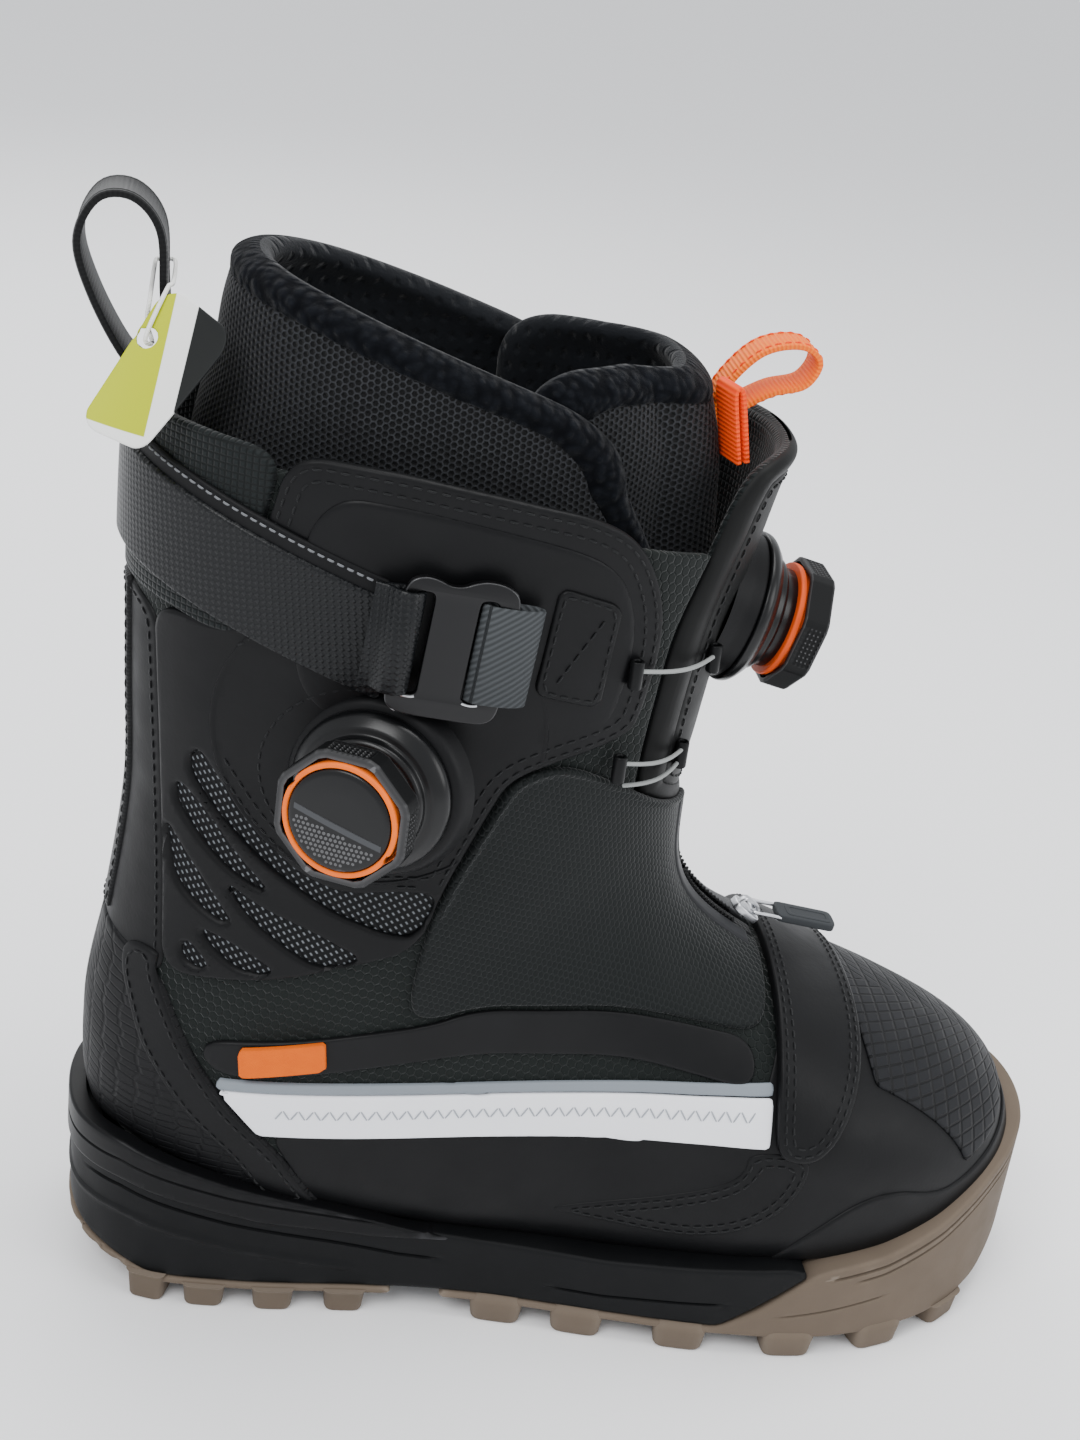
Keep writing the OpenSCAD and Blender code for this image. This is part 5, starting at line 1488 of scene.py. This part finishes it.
def make_liner():
    params, faces = form_grid(340, 64, -1.0, 20.0, liner_shape)
    surface = (params, faces, liner_shape(params[:, 0], params[:, 1], MEASURED), liner_shape)
    looks = ["liner_mesh", "fleece", "lining"]
    top = soften([[-30, 346]] + LINER_TOP + [[225, 280], [340, 5], [-30, 5]], 3)
    wall_field = lambda p, q: soft_min(inside(p[:, 0], p[:, 2], top), -liner_opening(p, q, 27, 58, 278), 14)
    tongue_field = lambda p, q: soft_min(liner_opening(p, q, 34, 82, 282), 306.5 - p[:, 2], 16)
    tuck = lambda p: -8.2 * np.clip((np.abs(p[:, 1]) - 17) / 14, 0, 1) ** 1.5
    for made in skins("liner_boot", wall_field, -7.4, 7.2, "boot", looks, "liner_mesh",
                      ["liner_boot", "liner_rim"], edge=4.6, surface=surface, rim=8.0, roll=1.7, puff=0.5,
                      lump=lambda p: waves_of(p, 0.55) * (p[:, 2] > 230)):
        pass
    for made in skins("liner_tongue", tongue_field, -7.4, 7.4, "boot", looks, "liner_mesh",
                      ["liner_tongue"], edge=4.4, surface=surface, rim=7.5, roll=1.6, puff=0.9,
                      lump=lambda p: waves_of(p, 0.6), shift=tuck):
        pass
    bed = lambda p, q: np.minimum(inside(p[:, 0], p[:, 2], soften([[30, 30], [40, 58], [70, 50], [130, 44],
                                                                   [230, 42], [280, 48], [290, 30]], 4)),
                                  (np.minimum(q[:, 1], 360 - q[:, 1]) - 90) * 0.5)
    Patch(bed, lambda v, q, p: -9.0 + 1.6 * round_edge(v, 3), depth=-8.6, edge=3, surface=surface).make(
        "footbed", "boot", "footbed_foam", "footbed_foam", ["footbed"])
    at = frame_of((174.5, -19, 284), ("Y", -12), ("Z", 14))
    path = loop_spline([(-1.2, 0, 0), (-1.25, 0, 8), (-1.2, 0, 18), (-0.8, 0, 20.6), (0, 0, 21.2),
                        (0.8, 0, 20.6), (1.2, 0, 18), (1.25, 0, 8), (1.2, 0, 0)], 0.7, closed=False)
    swept("liner_pull_tab", path, ACROSS, flat_section(12, 1.5, 0.4), "boot", "orange_cloth",
          "orange_cloth", ["liner_pull_tab"], at)
    stitched = []
    for y in (-4.6, 4.6):
        line = np.array([(1.9, y, z) for z in np.linspace(1, 19.5, 20)])
        stitched.append((placed(line, at), np.tile(np.array(at)[:3, 0], (20, 1))))
    stitch_rows("pull_tab_stitches", stitched, "boot", "orange_webbing", "orange_cloth", 2.0, 0.8, 0.25)
    ring = loop_spline([(x, 4, z) for x, z in (
        (171.5, 289), (173, 298), (182, 309), (193, 312), (199, 308), (196, 301), (187, 298), (179, 293),
        (176, 288))], 1.2)
    swept("liner_pull_loop", ring, ACROSS, flat_section(13, 1.7, 0.4), "boot", "orange_webbing",
          "orange_webbing", ["liner_pull_loop"], closed=True, order=(1, 0, 2))
    out = ring_normals(ring)
    rows = [(np.array([(x, y, z) for x, _, z in ring]) + out * 0.9, out) for y in (-1.0, 9.0)]
    stitch_rows("pull_loop_stitches", rows, "boot", "orange_cloth", "orange_webbing", 2.0, 0.9, 0.25)


def ring_normals(ring):
    """Normals pointing out of a closed ring that lies in a plane across Y."""
    way = unit(np.roll(ring, -1, 0) - np.roll(ring, 1, 0))
    way[0] = way[-1] = unit(ring[1] - ring[-2])
    out = np.cross(way, (0, 1, 0))
    middle = ring.mean(0)
    return out if np.sum(out * (ring - middle)) > 0 else -out


# ---------------------------------------------------------------- heel loop, tag and string
HEEL_LOOP = [[17.8, 262], [17.8, 286], [8, 296], [-1, 312], [-5, 326], [0, 337], [9, 338], [16, 330],
             [17.5, 314], [19.2, 296], [20.6, 286], [20.6, 262]]
STRING = [[15.5, -18.5, 302.7], [13.8, -14.4, 307], [14.3, -12.5, 313.5], [14.5, 8, 317],
          [15.2, 10.2, 317.5], [18.5, 10.4, 317.8], [19.9, 8, 317.5], [19.9, -11.5, 317],
          [18.6, -14, 316.1], [13.8, -21, 304.9]]


def make_loops():
    ring = loop_spline([(x, -2, z) for x, z in HEEL_LOOP], 1.6)
    swept("heel_pull_loop", ring, ACROSS, flat_section(19, 1.9, 0.45, (-8, 8)), "boot", "webbing",
          "webbing", ["heel_pull_loop"], closed=True)
    at = frame_of((14.5, -20, 304), ("Z", -34), ("X", -37), ("X", 90))
    corners = ((4, 8, 6), (17, 2, 7), (9, -24, 5), (-2, -23, 5))
    hull = hull_of([(x + r * math.cos(a), y + r * math.sin(a)) for x, y, r in corners
                    for a in np.linspace(0, 2 * math.pi, 25)[:-1]])
    x, y = (m.ravel() for m in np.meshgrid(np.arange(-10, 28, 1.0), np.arange(-32, 18, 1.0), indexing="ij"))
    bent = lambda a, b, h: np.stack([a, b, h + 0.5 + (np.abs(a - 7) / 13) ** 2 * 1.4 - 0.4], 1)
    flat = (np.stack([x, y, x, y], 1), quads(38, 50), np.stack([x, y, 0 * x], 1),
            lambda a, b, h: placed(bent(a, b, h), at))
    hole = 3
    field = lambda p, q: np.minimum(inside(p[:, 0], p[:, 1], hull), np.hypot(p[:, 0], p[:, 1]) - hole)
    for name, half in (("hang_tag", 0.4), ("hang_tag_back", -0.4)):
        Patch(field, lambda v, q, p: half * (0.5 + 0.5 * round_edge(v, 0.5)), depth=0.0, edge=0.5,
              surface=flat).make(name, "tag", "tag_card", "tag_card", ["hang_tag"])
    path = loop_spline(STRING, 0.9)
    swept("tag_string", path, string_across(path), round_section(0.6, 8), "tag", "string", "string",
          ["tag_string"], closed=True)


def hull_of(points):
    """The outline round all the points."""
    points = sorted(set((round(x, 3), round(y, 3)) for x, y in points))
    halves = []
    for order in (points, points[::-1]):
        half = []
        for p in order:
            while len(half) > 1 and ((half[-1][0] - half[-2][0]) * (p[1] - half[-2][1])
                                     - (half[-1][1] - half[-2][1]) * (p[0] - half[-2][0])) <= 0:
                half.pop()
            half.append(p)
        halves += half[:-1]
    return np.array(halves)


def string_across(path):
    """A direction across each step of a line, turned as little as it can be from step to step."""
    way = unit(np.roll(path, -1, 0) - np.roll(path, 1, 0))
    made = [unit(np.cross(way[0], (0.3, 0.2, 1)))]
    for w in way[1:]:
        made.append(unit(made[-1] - w * (made[-1] @ w)))
    return np.array(made)


# ---------------------------------------------------------------- small parts kept from the CAD
def finish_small_parts():
    """The CAD pieces that are hardly seen keep their shape and take a material measured on them."""
    steel = grained("small_steel", (0.5, 0.5, 0.52), 0.3, 0.4, 0.03, metal=1.0, own=True)
    steel.roughen(1.5, 2, 0.25, 0.45)
    black = grained("small_black", (0.006, 0.006, 0.007), 0.35, 0.6, 0.03, own=True)
    black.roughen(3, 2, 0.3, 0.5)
    board = grained("small_board", (0.3, 0.22, 0.12), 0.85, 1.5, 0.08, 0.7, 3, own=True)
    board.mottle(4, 3, (0.22, 0.16, 0.09))
    foam = grained("small_foam", (0.01, 0.0105, 0.012), 0.7, 0.9, 0.08, 0.7, 3, own=True)
    foam.mottle(6, 2, (0.02, 0.021, 0.023))
    for name, kind in (("front_dial_screw", "small_steel"), ("side_dial_screw", "small_steel"),
                       ("front_dial_spool", "small_black"), ("side_dial_spool", "small_black"),
                       ("lasting_board", "small_board"), ("liner_sole", "small_foam")):
        node = bpy.data.objects[name]
        node.data.materials.clear()
        node.data.materials.append(mat(kind))


make_sole()
make_lugs()
make_dials()
make_strap()
make_tongue()
make_zip()
make_liner()
make_loops()
finish_small_parts()
